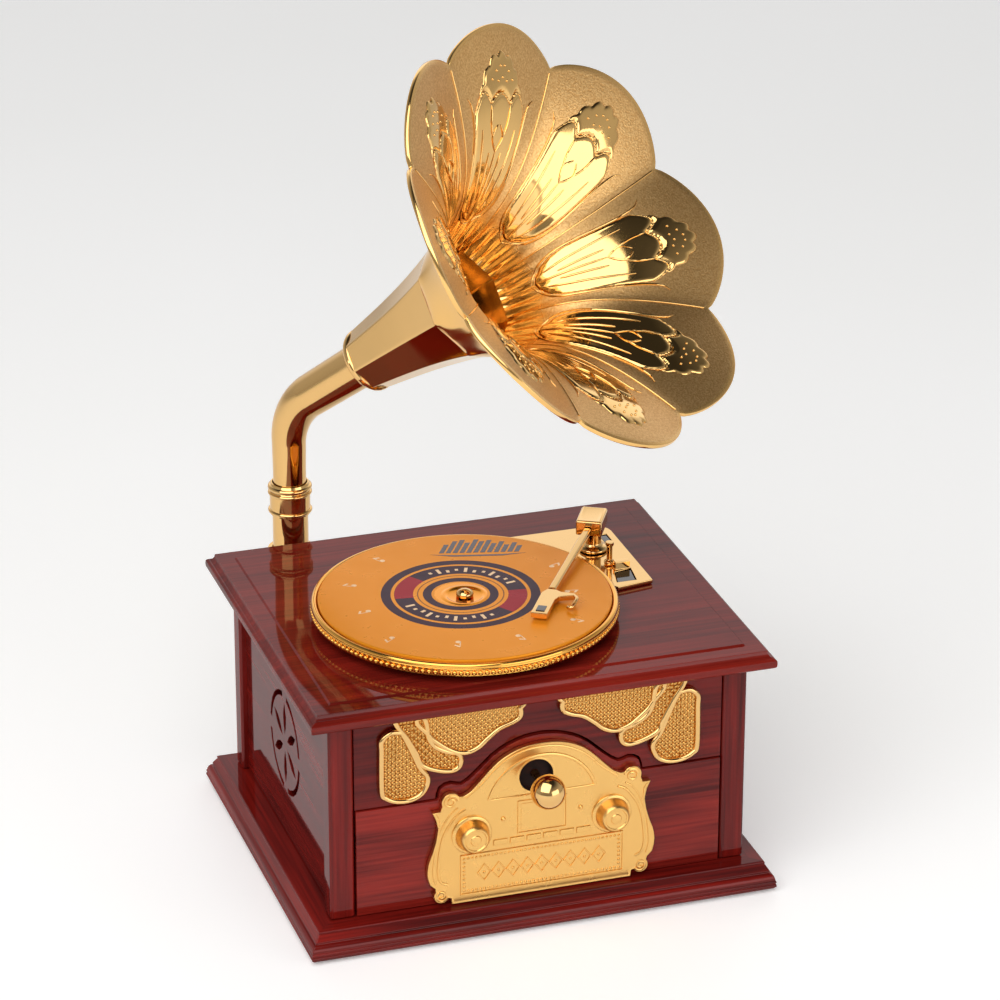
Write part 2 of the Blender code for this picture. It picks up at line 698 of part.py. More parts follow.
def make_drawer(wood, velvet, satin, polished):
    slide = empty("drawer_slide_axis", (0, -BACK, FLOOR))
    front_half = BAY_SIDE - DRAWER_SIDE_GAP
    arch = [(x, SEAM + z) for x, z in arch_half()]
    outline = both_sides([(front_half, FLOOR), (front_half, SEAM), (arch[0][0] + 0.4, SEAM), *arch])
    front = piece("drawer_front", turn(plate(outline, DRAWER_FRONT_THICK), TO_FRONT), wood,
                  (0, DRAWER_INSIDE, 0), slide, smooth=0)
    pull_z = SEAM + PULL_ABOVE_SEAM
    bore = rod(PULL_ROD_RADIUS + GAP, -1, DRAWER_FRONT_THICK + 1, 16)
    combine(front, "DIFFERENCE", turn(bore, TO_FRONT), (PULL_X, DRAWER_INSIDE, pull_z))

    outer = BAY_SIDE - GAP * 2
    box_front = DRAWER_INSIDE + GAP
    length = DRAWER_BACK - box_front
    middle = (box_front + DRAWER_BACK) / 2
    board = block(2 * outer, length, DRAWER_BOTTOM_THICK)
    piece("drawer_bottom", board, wood, (0, middle, FLOOR), slide, smooth=0)
    wall_z = FLOOR + DRAWER_BOTTOM_THICK + GAP
    side_length = length - DRAWER_BOARD - GAP
    side_y = box_front + side_length / 2
    for hand, x in (("left", -outer + DRAWER_BOARD / 2), ("right", outer - DRAWER_BOARD / 2)):
        piece(f"drawer_{hand}_side", block(DRAWER_BOARD, side_length, DRAWER_WALL_HEIGHT), wood,
              (x, side_y, wall_z), slide, smooth=0)
    piece("drawer_back", block(2 * outer, DRAWER_BOARD, DRAWER_WALL_HEIGHT), wood,
          (0, DRAWER_BACK - DRAWER_BOARD / 2, wall_z), slide, smooth=0)
    lining = block(2 * (outer - DRAWER_BOARD - GAP), side_length - GAP, LINING_THICK, LINING_CORNER)
    piece("drawer_lining", lining, velvet, (0, side_y, wall_z), slide)

    plate_back = -BACK - GAP
    hole = circle(PULL_HOLE_RADIUS, PULL_X, pull_z, 20)
    body = turn(plate(both_sides(plate_half()), PLATE_THICK, [hole]), TO_FRONT)
    face = piece("front_plate", body, satin, (0, plate_back, 0), slide, smooth=30)
    combine(face, "UNION", turn(plate_trim(), TO_FRONT), (0, plate_back - PLATE_THICK, 0))

    ball_bore = PULL_ROD_RADIUS + GAP
    ball_back = PULL_REACH - math.sqrt(PULL_BALL_RADIUS**2 - ball_bore**2)
    bore_end = ball_back + PULL_BALL_BORE
    lower = math.degrees(math.asin(ball_bore / PULL_BALL_RADIUS)) - 90
    sphere = arc(0, PULL_REACH, PULL_BALL_RADIUS, lower, 90, 9)
    crown = PULL_REACH + PULL_BALL_RADIUS
    ball = turned([(0, bore_end), (ball_bore, bore_end), *sphere[:-1], (0, crown)], 20)
    piece("pull_ball", turn(ball, TO_FRONT), polished, (PULL_X, -BACK, pull_z), slide)
    root = -DRAWER_FRONT_THICK + 0.8
    stem = turned([(0, root), (PULL_ROD_RADIUS, root), (PULL_ROD_RADIUS, GAP), (PULL_COLLAR_RADIUS, GAP),
                   (PULL_COLLAR_RADIUS, 1.0), (PULL_COLLAR_RADIUS / 2, 1.6), (PULL_ROD_RADIUS, 2.0),
                   (PULL_ROD_RADIUS, bore_end - GAP), (0, bore_end - GAP)], 16)
    piece("pull_rod", turn(stem, TO_FRONT), polished, (PULL_X, -BACK, pull_z), slide)


def make_grilles(polished):
    """Three rimmed lobes a side, each tucked under the one inside it.

    Points are shares of half the panel's width and of its height.
    """
    inner = [(0.077, 0.93), (0.074, 0.84), (0.11, 0.755), (0.20, 0.70), (0.275, 0.59), (0.34, 0.495),
             (0.41, 0.46), (0.485, 0.50), (0.56, 0.61), (0.62, 0.74), (0.655, 0.93)]
    crescent = [(0.785, 0.925), (0.735, 0.755), (0.685, 0.545), (0.65, 0.395), (0.56, 0.31), (0.475, 0.285),
                (0.43, 0.325), (0.418, 0.42), (0.43, 0.50), (0.465, 0.545), (0.54, 0.655), (0.59, 0.77),
                (0.615, 0.925)]
    outer = [(0.77, 0.84), (0.815, 0.84), (0.86, 0.765), (0.865, 0.63), (0.865, 0.17), (0.84, 0.085),
             (0.78, 0.03), (0.70, 0.025), (0.635, 0.08), (0.60, 0.185), (0.60, 0.28), (0.635, 0.385),
             (0.68, 0.59), (0.74, 0.81)]
    for hand, sign in (("left", -1), ("right", 1)):
        lobes = []
        for i, shares in enumerate((inner, crescent, outer)):
            path = [(sign * u * BAY_SIDE, v * UPPER_PANEL_HEIGHT) for u, v in shares]
            lobes.append(turn(tray(path, GRILLE_THICK - i * GRILLE_STEP, GRILLE_RIM, GRILLE_SINK), TO_FRONT))
        at = (0, FRONT_FACE - GAP, PANEL_BOTTOM)
        grille = piece(f"{hand}_grille", lobes[0], polished, at, smooth=30)
        combine(grille, "UNION", lobes[1], at)
        combine(grille, "UNION", lobes[2], at)


# Platter


def make_platter(polished, record_gold, steel, brass):
    axis = empty("platter_axis", (AXIS_X, AXIS_Y, SLAB_TOP))
    seat = PLATTER_THICK
    rim = PLATTER_RADIUS
    bore = ARBOR_RADIUS + GAP
    bead = [(rim - 0.5, seat + 0.3), (rim - 1.0, seat + PLATTER_BEAD), (rim - 2.4, seat + PLATTER_BEAD),
            (rim - 3.0, seat)]
    profile = [(bore, 0), (rim - 1.2, 0), (rim, 0.7), (rim, seat - 0.6), *bead, (bore, seat)]
    piece("platter", turned(profile, 48), polished, (AXIS_X, AXIS_Y, PLATTER_BOTTOM), axis)

    hole = SPINDLE_RADIUS + GAP
    thick = RECORD_THICK
    boss = BOSS_RADIUS
    profile = [(hole, 0), (RECORD_RADIUS, 0), (RECORD_RADIUS, thick - 0.2), (RECORD_RADIUS - 0.2, thick),
               (boss + 0.4, thick), (boss - 0.5, thick + 0.55), (boss - 1.5, thick + 0.55),
               (boss - 2.4, thick + 0.2), (hole, thick + 0.2)]
    piece("record_disc", turned(profile, 48), record_gold, (AXIS_X, AXIS_Y, RECORD_BOTTOM), axis)

    nut_bottom = RECORD_TOP + 0.2 + GAP
    arbor_top = nut_bottom + NUT_BORE
    profile = [(0, NUT_BORE + GAP), (hole, NUT_BORE + GAP), (hole, 0), (NUT_RADIUS, 0),
               (NUT_RADIUS, NUT_BORE), (NUT_RADIUS - 0.5, NUT_HEIGHT - 0.3), (0, NUT_HEIGHT)]
    piece("spindle_cap", turned(profile, 24), polished, (AXIS_X, AXIS_Y, nut_bottom), axis)

    wheel_top = BARREL_BOTTOM - 0.5
    wheel_bottom = wheel_top - CROWN_DISC
    foot = wheel_bottom - GAP
    shoulder = PLATTER_BOTTOM + PLATTER_THICK
    flange = ARBOR_RADIUS + 1.7
    profile = [(0, foot - 1.4), (flange, foot - 1.4), (flange, foot), (ARBOR_RADIUS, foot),
               (ARBOR_RADIUS, shoulder), (SPINDLE_RADIUS, shoulder), (SPINDLE_RADIUS, arbor_top),
               (0, arbor_top)]
    piece("winding_arbor", turned(profile, 24), steel, (AXIS_X, AXIS_Y, 0), axis)
    piece("great_wheel", crown_wheel(), brass, (AXIS_X, AXIS_Y, wheel_bottom), axis, smooth=0)


def crown_wheel():
    """Disc with teeth pointing down, so placed that a space faces +X."""
    bore = ARBOR_RADIUS + GAP
    profile = [(bore, 0), (CROWN_INNER, 0), (CROWN_OUTER, 0), (CROWN_OUTER, CROWN_DISC), (bore, CROWN_DISC)]
    bm = turned(profile, 2 * CROWN_TEETH)
    half_step = 180 / (2 * CROWN_TEETH)
    turn(bm, Matrix.Rotation(math.radians(half_step), 3, "Z"))
    teeth = []
    for face in bm.faces:
        centre = face.calc_center_median()
        step = round(math.degrees(math.atan2(centre.y, centre.x)) / (2 * half_step))
        if abs(centre.z) < 0.01 and centre.xy.length > CROWN_INNER and step % 2:
            teeth.append(face)
    raised = bmesh.ops.extrude_discrete_faces(bm, faces=teeth)["faces"]
    for face in raised:
        middle = face.calc_center_median()
        for vert in face.verts:
            side = Vector((-middle.y, middle.x, 0)).normalized()
            vert.co -= side * (vert.co - middle).dot(side) * 0.25
            vert.co.z -= CROWN_TOOTH
    return bm


# Deck and tonearm


def make_deck(polished, glass):
    left = PIVOT_X - DECK_LEFT
    right = PIVOT_X + DECK_RIGHT
    back = PIVOT_Y + DECK_BACK
    start = math.degrees(math.acos((left - AXIS_X) / DECK_ARC_RADIUS))
    inner = arc(AXIS_X, AXIS_Y, DECK_ARC_RADIUS, 8, start, 10)
    corner = arc(right - DECK_CORNER, back - DECK_CORNER, DECK_CORNER, 0, 90, 4)
    outline = [(right, PIVOT_Y - DECK_FRONT), *corner, (left, back), *reversed(inner),
               (PIVOT_X - DECK_NOSE[0], PIVOT_Y - DECK_NOSE[1])]
    front_window = [(PIVOT_X + x, PIVOT_Y + y) for x, y in FRONT_WINDOW]
    rear_window = [(PIVOT_X + x, PIVOT_Y + y) for x, y in REAR_WINDOW]
    bore = circle(ARM_SHAFT_RADIUS + GAP, PIVOT_X, PIVOT_Y, 12)
    deck = piece("deck_plate", plate(outline, DECK_THICK, [front_window, rear_window, bore]), polished,
                 (0, 0, DECK_BOTTOM), smooth=30)
    wide, deep, high = DECK_LEDGE_SIZE
    sunk = DECK_THICK / 2
    ledge_at = (PIVOT_X + DECK_LEDGE[0], PIVOT_Y + DECK_LEDGE[1], DECK_TOP - sunk)
    combine(deck, "UNION", block(wide, deep, high + sunk), ledge_at)
    for name, window in (("front_deck_window", front_window), ("rear_deck_window", rear_window)):
        x = sum(p[0] for p in window) / len(window)
        y = sum(p[1] for p in window) / len(window)
        pane = []
        for px, py in window:
            pull = Vector((x - px, y - py)).normalized() * GAP * 1.6
            pane.append((px + pull.x - x, py + pull.y - y))
        piece(name, plate(pane, DECK_THICK - GAP), glass, (x, y, DECK_BOTTOM), smooth=0)

    rest_x, rest_y = polar(PIVOT_X, PIVOT_Y, REST_FROM_PIVOT, ARM_AZIMUTH + ARM_PARK)
    sag = ARM_DROP / (ARM_END - ARM_START) * (REST_FROM_PIVOT + REST_WIDTH - ARM_START)
    under_arm = HEAD_BOTTOM + HEAD_ARM_HEIGHT - ARM_HEIGHT / 2 - sag
    height = under_arm - 0.4 - PEDESTAL_BOTTOM
    foot, waist, top = REST_WIDTH / 2 + 0.4, REST_WIDTH / 2 - 0.4, REST_WIDTH / 2
    rest = turned([(0, 0), (foot, 0), (foot, 0.8), (waist, 1.4), (waist, height - 1.6), (top, height - 1.0),
                   (top, height), (0, height)], 16)
    piece("arm_rest", rest, polished, (rest_x, rest_y, PEDESTAL_BOTTOM))

    bore = ARM_SHAFT_RADIUS + GAP
    flange = PEDESTAL_FLANGE_RADIUS
    top = PEDESTAL_HEIGHT - GAP
    column = turned([(bore, 0), (flange, 0), (flange, 0.7), (flange - 0.6, 1.2),
                     (PEDESTAL_RADIUS + 0.5, 1.5), (PEDESTAL_RADIUS, 2.2), (PEDESTAL_RADIUS, top),
                     (bore, top)], 24)
    piece("arm_pedestal", column, polished, (PIVOT_X, PIVOT_Y, PEDESTAL_BOTTOM))


def make_tonearm(polished, steel):
    axis = empty("tonearm_axis", (PIVOT_X, PIVOT_Y, SLAB_TOP))
    lever_z = SLAB_BOTTOM - LEVER_DROP
    shaft_top = HEAD_BOTTOM + HEAD_BORE - GAP
    collar = ARM_SHAFT_RADIUS + ARM_SHAFT_COLLAR
    foot = lever_z - GAP - 0.2
    shaft = turned([(0, foot), (collar, foot), (collar, lever_z - GAP), (ARM_SHAFT_RADIUS, lever_z - GAP),
                    (ARM_SHAFT_RADIUS, shaft_top), (0, shaft_top)], 16)
    piece("arm_pivot_shaft", shaft, steel, (PIVOT_X, PIVOT_Y, 0), axis)

    bm = block(HEAD_LENGTH, HEAD_WIDTH, HEAD_HEIGHT)
    top = [e for e in bm.edges if min(v.co.z for v in e.verts) > HEAD_HEIGHT / 2]
    upright = [e for e in bm.edges if abs(e.verts[0].co.z - e.verts[1].co.z) > HEAD_HEIGHT / 2]
    bmesh.ops.bevel(bm, geom=top + upright, offset=HEAD_EDGE, affect="EDGES", segments=2, profile=0.5)
    head = piece("arm_head", bm, polished, (PIVOT_X - 0.8, PIVOT_Y - 0.5, HEAD_BOTTOM), axis,
                 (0, 0, math.radians(HEAD_AZIMUTH)))
    combine(head, "DIFFERENCE", rod(ARM_SHAFT_RADIUS + GAP, -1, HEAD_BORE), (PIVOT_X, PIVOT_Y, HEAD_BOTTOM))

    slope = math.atan2(ARM_DROP, ARM_END - ARM_START)
    length = (ARM_END - ARM_START) / math.cos(slope)
    bm = block(length, ARM_WIDTH, ARM_HEIGHT, z=-ARM_HEIGHT / 2)
    shift(bm, length / 2, 0, 0)
    long_edges = [e for e in bm.edges if abs(e.verts[0].co.x - e.verts[1].co.x) > length / 2]
    bmesh.ops.bevel(bm, geom=long_edges, offset=0.4, affect="EDGES", segments=1, profile=0.5)
    start = polar(PIVOT_X, PIVOT_Y, ARM_START, ARM_AZIMUTH)
    arm_z = HEAD_BOTTOM + HEAD_ARM_HEIGHT
    piece("arm_tube", bm, polished, (*start, arm_z), axis, (0, slope, math.radians(ARM_AZIMUTH)))

    end = polar(PIVOT_X, PIVOT_Y, ARM_END + GAP, ARM_AZIMUTH)
    half = SHELL_WIDTH / 2
    outline = [(0, -1.3), (1.2, -3.2), (1.4, -7.6), (2.6, -7.8), (4.6, -3.4), (7.0, -half),
               (SHELL_LENGTH, -half), (SHELL_LENGTH, half), (3.0, half), (0, 1.3)]
    outline = [(x, -y) for x, y in outline]
    shell_z = arm_z - ARM_DROP - SHELL_THICK / 2 - 0.1
    shell = piece("headshell", plate(outline, SHELL_THICK), polished, (*end, shell_z), axis,
                  (0, 0, math.radians(ARM_AZIMUTH + SHELL_TURN)), smooth=30)
    needle = BEAD_TOP + GAP
    drop = shell_z - needle + 0.5
    cartridge = shift(block(CARTRIDGE_LENGTH, SHELL_WIDTH - 1.2, drop), SHELL_LENGTH - 4.0, 0, 0)
    turn(cartridge, Matrix.Rotation(math.radians(ARM_AZIMUTH + SHELL_TURN), 3, "Z"))
    combine(shell, "UNION", cartridge, (*end, needle))

    tip = LEVER_LENGTH
    outline = [*arc(0, 0, 3.2, 20, 340, 12), (tip - 1.0, -1.1), (tip, -0.5), (tip, 0.5), (tip - 1.0, 1.1)]
    bore = circle(ARM_SHAFT_RADIUS + GAP, 0, 0, 12)
    lever_azimuth = BRAKE_AZIMUTH - ARM_PARK
    piece("stop_lever", plate(outline, LEVER_THICK, [bore]), steel, (PIVOT_X, PIVOT_Y, lever_z), axis,
          (0, 0, math.radians(lever_azimuth)), smooth=30)


# Movement


def movement_screw_places():
    return [(AXIS_X + x, AXIS_Y + y) for x, y in MOVEMENT_SCREWS]


def screw_reach():
    """How far a movement screw enters the slab."""
    return SLAB_THICK - SCREW_COVER


def screw(head_radius, head_height, shank_radius, length, steps=16):
    """Cheese-head screw pointing up, its head's seat at z = 0."""
    return turned([(0, -head_height), (head_radius - 0.3, -head_height), (head_radius, -head_height + 0.3),
                   (head_radius, 0), (shank_radius, 0), (shank_radius, length), (0, length)], steps)


def slotted(obj, head_radius, head_height, at, matrix=None):
    """Cut the driver's slot across a screw's head."""
    slot = block(2.5 * head_radius, 0.25 * head_radius, head_height, z=-1.5 * head_height)
    if matrix:
        turn(slot, matrix)
    combine(obj, "DIFFERENCE", slot, at)


def make_bedplate(brass):
    left, right = AXIS_X - BEDPLATE_LEFT, AXIS_X + BEDPLATE_RIGHT
    front, rear = AXIS_Y - BEDPLATE_FRONT, AXIS_Y + BEDPLATE_REAR
    bore = SCREW_SHANK_RADIUS + GAP
    holes = [circle(ARBOR_RADIUS + GAP, AXIS_X, AXIS_Y, 24)]
    holes += [circle(bore, x, y, 12) for x, y in movement_screw_places()]
    outline = [(left, front), (right, front), (right, rear), (left, rear)]
    bed = piece("bedplate", plate(outline, BEDPLATE_THICK, holes), brass, (0, 0, BEDPLATE_BOTTOM), smooth=0)

    top = BEDPLATE_BOTTOM + BEDPLATE_THICK / 2
    lug_bottom = CYLINDER_Z - LUG_HALF_DEPTH
    frame_bottom = GOVERNOR_Z - 2.3
    comb_left = comb_start()
    comb_right = comb_left + COMB_TEETH * COMB_PITCH
    comb_z = CYLINDER_Z + COMB_THICK / 2 + GAP + 0.1
    near, far = AXIS_Y - LUG_HALF_DEPTH, AXIS_Y + LUG_HALF_DEPTH
    lugs = [span(AXIS_X + x, AXIS_X + x + LUG_THICK, near, far, lug_bottom, top)
            for x in (LEFT_LUG_X, RIGHT_LUG_X)]
    near, far = (AXIS_Y + y for y in FRAME_DEPTH)
    cheeks = [span(AXIS_X + x, AXIS_X + x + FRAME_THICK, near, far, frame_bottom, top)
              for x in (FRAME_NEAR_X, FRAME_FAR_X)]
    block_front = AXIS_Y - COMB_ROOT - 1.5
    comb_block = span(comb_left, comb_right, AXIS_Y - COMB_BACK, block_front, comb_z, top)
    combine(bed, "UNION", merged(*lugs, *cheeks, comb_block), (0, 0, 0))

    shaft = CYLINDER_SHAFT_RADIUS + GAP
    fine = GOVERNOR_SHAFT_RADIUS + GAP
    past = 0.5
    through = RIGHT_LUG_X + LUG_THICK - LEFT_LUG_X + 2 * past
    across = FRAME_FAR_X + FRAME_THICK - FRAME_NEAR_X + 2 * past
    cuts = [turn(rod(shaft, 0, through, 16), ALONG_X, (AXIS_X + LEFT_LUG_X - past, AXIS_Y, CYLINDER_Z)),
            turn(rod(fine, 0, across, 16), ALONG_X,
                 (AXIS_X + FRAME_NEAR_X - past, AXIS_Y + GOVERNOR_OUT, GOVERNOR_Z))]
    for x, y in comb_screw_places():
        cuts.append(shift(rod(SMALL_SHANK_RADIUS + GAP, -1, 6), x, y, comb_z))
    combine(bed, "DIFFERENCE", merged(*cuts), (0, 0, 0))


def comb_start():
    """Left end of the comb, over the cylinder's first row of pins."""
    return AXIS_X + CYLINDER_START + 0.5


def comb_screw_places():
    inset = 3.5
    y = AXIS_Y - COMB_ROOT - COMB_SCREW_BACK
    return [(comb_start() + x, y) for x in (inset, COMB_TEETH * COMB_PITCH - inset)]


def make_drive(brass, steel):
    wall = BARREL_WALL
    bore = ARBOR_RADIUS + GAP
    inside = BARREL_RADIUS - wall
    high = BARREL_HEIGHT
    barrel = turned([(bore, 0), (BARREL_RADIUS, 0), (BARREL_RADIUS, high), (bore, high), (bore, high - wall),
                     (inside, high - wall), (inside, wall), (bore, wall)], 24)
    piece("spring_barrel", barrel, brass, (AXIS_X, AXIS_Y, BARREL_BOTTOM))

    first = ARBOR_RADIUS + 0.7
    last = inside - GAP - 0.2 - SPRING_THICK
    steps = SPRING_TURNS * 14
    inner_edge = []
    outer_edge = []
    for i in range(steps + 1):
        angle = math.tau * i / 14
        radius = first + (last - first) * i / steps
        for path, reach in ((inner_edge, radius), (outer_edge, radius + SPRING_THICK)):
            path.append((reach * math.cos(angle), reach * math.sin(angle)))
    rings = []
    for near, far in zip(inner_edge, outer_edge):
        low, top = wall + GAP, high - wall - GAP
        rings.append([(*near, low), (*far, low), (*far, top), (*near, top)])
    piece("mainspring", loft(rings), steel, (AXIS_X, AXIS_Y, BARREL_BOTTOM))

    for i, (x, y) in enumerate(movement_screw_places()):
        name = f"movement_screw_{i + 1}"
        at = (x, y, BEDPLATE_BOTTOM - GAP)
        length = GAP + BEDPLATE_THICK + GAP + screw_reach()
        bm = screw(SCREW_HEAD_RADIUS, SCREW_HEAD_HEIGHT, SCREW_SHANK_RADIUS, length)
        bolt = piece(name, bm, steel, at)
        slotted(bolt, SCREW_HEAD_RADIUS, SCREW_HEAD_HEIGHT, at)


def make_cylinder(brass, steel):
    axis = empty("cylinder_axis", (AXIS_X, AXIS_Y, CYLINDER_Z))
    shaft = CYLINDER_SHAFT_RADIUS
    start, end = CYLINDER_START, CYLINDER_START + CYLINDER_LENGTH
    rows = [(CYLINDER_RADIUS, start)]
    rows += [(CYLINDER_RADIUS, start + 0.5 + COMB_PITCH * i) for i in range(COMB_TEETH + 1)]
    rows.append((CYLINDER_RADIUS, end))
    profile = [(0, PINION_X - 0.4), (shaft, PINION_X - 0.4), (shaft, start), *rows, (shaft, end),
               (shaft, RIGHT_LUG_X + LUG_THICK + 0.3), (0, RIGHT_LUG_X + LUG_THICK + 0.3)]
    bm = turned(profile, 20)
    pins = []
    for face in bm.faces:
        centre = face.calc_center_median()
        if centre.xy.length < CYLINDER_RADIUS * 0.9 or not start + 0.6 < centre.z < end - 0.6:
            continue
        row = int(centre.z - start)
        column = round(math.degrees(math.atan2(centre.y, centre.x)) / 18 - 0.5)
        if (row * 5 + column * 7) % 19 == 3:
            pins.append(face)
    bmesh.ops.inset_individual(bm, faces=pins, thickness=0.34)
    raised = bmesh.ops.extrude_discrete_faces(bm, faces=pins)["faces"]
    for face in raised:
        out = face.calc_center_median()
        out.z = 0
        bmesh.ops.translate(bm, verts=face.verts[:], vec=out.normalized() * 0.45)
    roll = piece("music_cylinder", turn(bm, ALONG_X), brass, (AXIS_X, AXIS_Y, CYLINDER_Z), axis, smooth=30)
    pinion = shift(plate(gear_outline(12, 2.5, 3.5, 0.50, 0.28, 90), PINION_WIDTH), 0, 0, PINION_X)
    combine(roll, "UNION", turn(pinion, ALONG_X), (AXIS_X, AXIS_Y, CYLINDER_Z))

    meshing = math.degrees(math.atan2(GOVERNOR_Z - CYLINDER_Z, GOVERNOR_OUT))
    outline = gear_outline(40, 6.6, 7.25, 0.44, 0.26, meshing + 4.5)
    wheel = turn(plate(outline, WHEEL_WIDTH, [circle(shaft + GAP)]), ALONG_X)
    piece("cylinder_wheel", wheel, brass, (AXIS_X + WHEEL_X, AXIS_Y, CYLINDER_Z), axis, smooth=0)

    left = comb_start()
    teeth = []
    for i in range(COMB_TEETH):
        near, far = left + COMB_PITCH * (i + 0.15), left + COMB_PITCH * (i + 0.85)
        teeth += [(near, AXIS_Y - COMB_ROOT), (near, AXIS_Y - COMB_TIP), (far, AXIS_Y - COMB_TIP),
                  (far, AXIS_Y - COMB_ROOT)]
    right = left + COMB_TEETH * COMB_PITCH
    outline = [*teeth, (right, AXIS_Y - COMB_ROOT), (right, AXIS_Y - COMB_BACK), (left, AXIS_Y - COMB_BACK),
               (left, AXIS_Y - COMB_ROOT)]
    hole = SMALL_SHANK_RADIUS + GAP
    comb = plate(outline, COMB_THICK, [circle(hole, x, y, 12) for x, y in comb_screw_places()])
    comb_bottom = CYLINDER_Z - COMB_THICK / 2 + 0.1
    piece("comb", comb, steel, (0, 0, comb_bottom), smooth=0)
    for i, (x, y) in enumerate(comb_screw_places()):
        at = (x, y, comb_bottom - GAP)
        bm = screw(SMALL_HEAD_RADIUS, SMALL_HEAD_HEIGHT, SMALL_SHANK_RADIUS, COMB_THICK + 5.5, 12)
        bolt = piece(f"comb_screw_{i + 1}", bm, steel, at)
        slotted(bolt, SMALL_HEAD_RADIUS, SMALL_HEAD_HEIGHT, at)


def make_governor(brass, steel):
    wheel_axis = empty("governor_wheel_axis", (AXIS_X, AXIS_Y + GOVERNOR_OUT, GOVERNOR_Z))
    meshing = math.degrees(math.atan2(GOVERNOR_Z - CYLINDER_Z, GOVERNOR_OUT))
    at = (AXIS_X, AXIS_Y + GOVERNOR_OUT, GOVERNOR_Z)
    shaft = GOVERNOR_SHAFT_RADIUS
    start, end = WHEEL_X - 0.4, FRAME_FAR_X + FRAME_THICK + 0.4
    body = rod(shaft, start, end, 16)
    wheel = piece("governor_wheel", turn(body, ALONG_X), brass, at, wheel_axis, smooth=0)
    pinion = shift(plate(gear_outline(10, 1.3, 2.0, 0.52, 0.28, meshing + 180), WHEEL_WIDTH), 0, 0, WHEEL_X)
    worm_wheel = shift(plate(gear_outline(20, 3.2, 3.85, 0.36, 0.20, 0), 0.8), 0, 0, WORM_X - 0.4)
    combine(wheel, "UNION", turn(merged(pinion, worm_wheel), ALONG_X), at)

    fan_x = AXIS_X + WORM_X
    fan_y = AXIS_Y + GOVERNOR_OUT + WORM_OUT
    foot_top = SLAB_BOTTOM - FAN_FOOT_DROP
    frame_top = BEDPLATE_BOTTOM - GAP
    plate_low = frame_top - 1.2
    fan_axis = empty("fan_axis", (fan_x, fan_y, GOVERNOR_Z))
    bottom = foot_top + GAP
    disc = SLAB_BOTTOM - BRAKE_DROP
    worm_low, worm_high = GOVERNOR_Z - 2.1, GOVERNOR_Z + 2.1
    sides = 12

    def ring(radius, z):
        return [(*point, z) for point in circle(radius, steps=sides)]

    rings = [ring(0.35, bottom - 0.9), ring(0.35, bottom), ring(0.6, bottom), ring(0.6, disc),
             ring(BRAKE_RADIUS, disc), ring(BRAKE_RADIUS, disc + 1.0), ring(0.6, disc + 1.0),
             ring(0.6, worm_low)]
    steps = 18
    lead = 2 * WORM_PITCH
    for i in range(steps + 1):
        z = worm_low + (worm_high - worm_low) * i / steps
        fade = min(1.0, min(i, steps - i) / 2)
        points = []
        for k in range(sides):
            azimuth = 360 * k / sides
            turns = 2 * ((azimuth + 90) / 360 - (z - GOVERNOR_Z) / lead)
            ridge = max(0.0, 1 - abs((turns % 1) - 0.5) / 0.24)
            points.append((*polar(0, 0, 0.65 + 0.5 * fade * min(1.0, 1.6 * ridge), azimuth), z))
        rings.append(points)
    top = plate_low - GAP
    rings += [ring(0.6, worm_high + 0.2), ring(0.6, top), ring(0.35, top), ring(0.35, top + 0.9)]
    fan = piece("governor_fan", loft(rings), steel, (fan_x, fan_y, 0), fan_axis, smooth=30)
    combine(fan, "UNION", block(*FAN_BLADE), (fan_x, fan_y, bottom + 0.8))

    strut = fan_x + 5.2
    left, half = fan_x - 2.5, 2.0
    outline = [(left, fan_y - half), (strut, fan_y - half), (strut, fan_y + half), (left, fan_y + half)]
    bracket = plate(outline, 1.2, [circle(0.65, fan_x, fan_y, 12)])
    frame = piece("governor_frame", bracket, brass, (0, 0, plate_low), smooth=0)
    upright = span(strut - 0.5, strut + 0.9, fan_y - 2, fan_y + 2, foot_top - 1.2, frame_top)
    combine(frame, "UNION", upright, (0, 0, 0))
    left, half = fan_x - 2.0, 1.5
    outline = [(left, fan_y - half), (strut, fan_y - half), (strut, fan_y + half), (left, fan_y + half)]
    foot = plate(outline, 1.2, [circle(0.65, fan_x, fan_y, 12)])
    combine(frame, "UNION", foot, (0, 0, foot_top - 1.2))


# Horn


def flange_screw_places():
    return (TUBE_X - FLANGE_SCREW_OUT, TUBE_X + FLANGE_SCREW_OUT)


def tube_ring(centre, across, up, radius, steps=20):
    ring = []
    for i in range(steps):
        angle = math.tau * i / steps
        ring.append(centre + (across * math.cos(angle) + up * math.sin(angle)) * radius)
    return ring


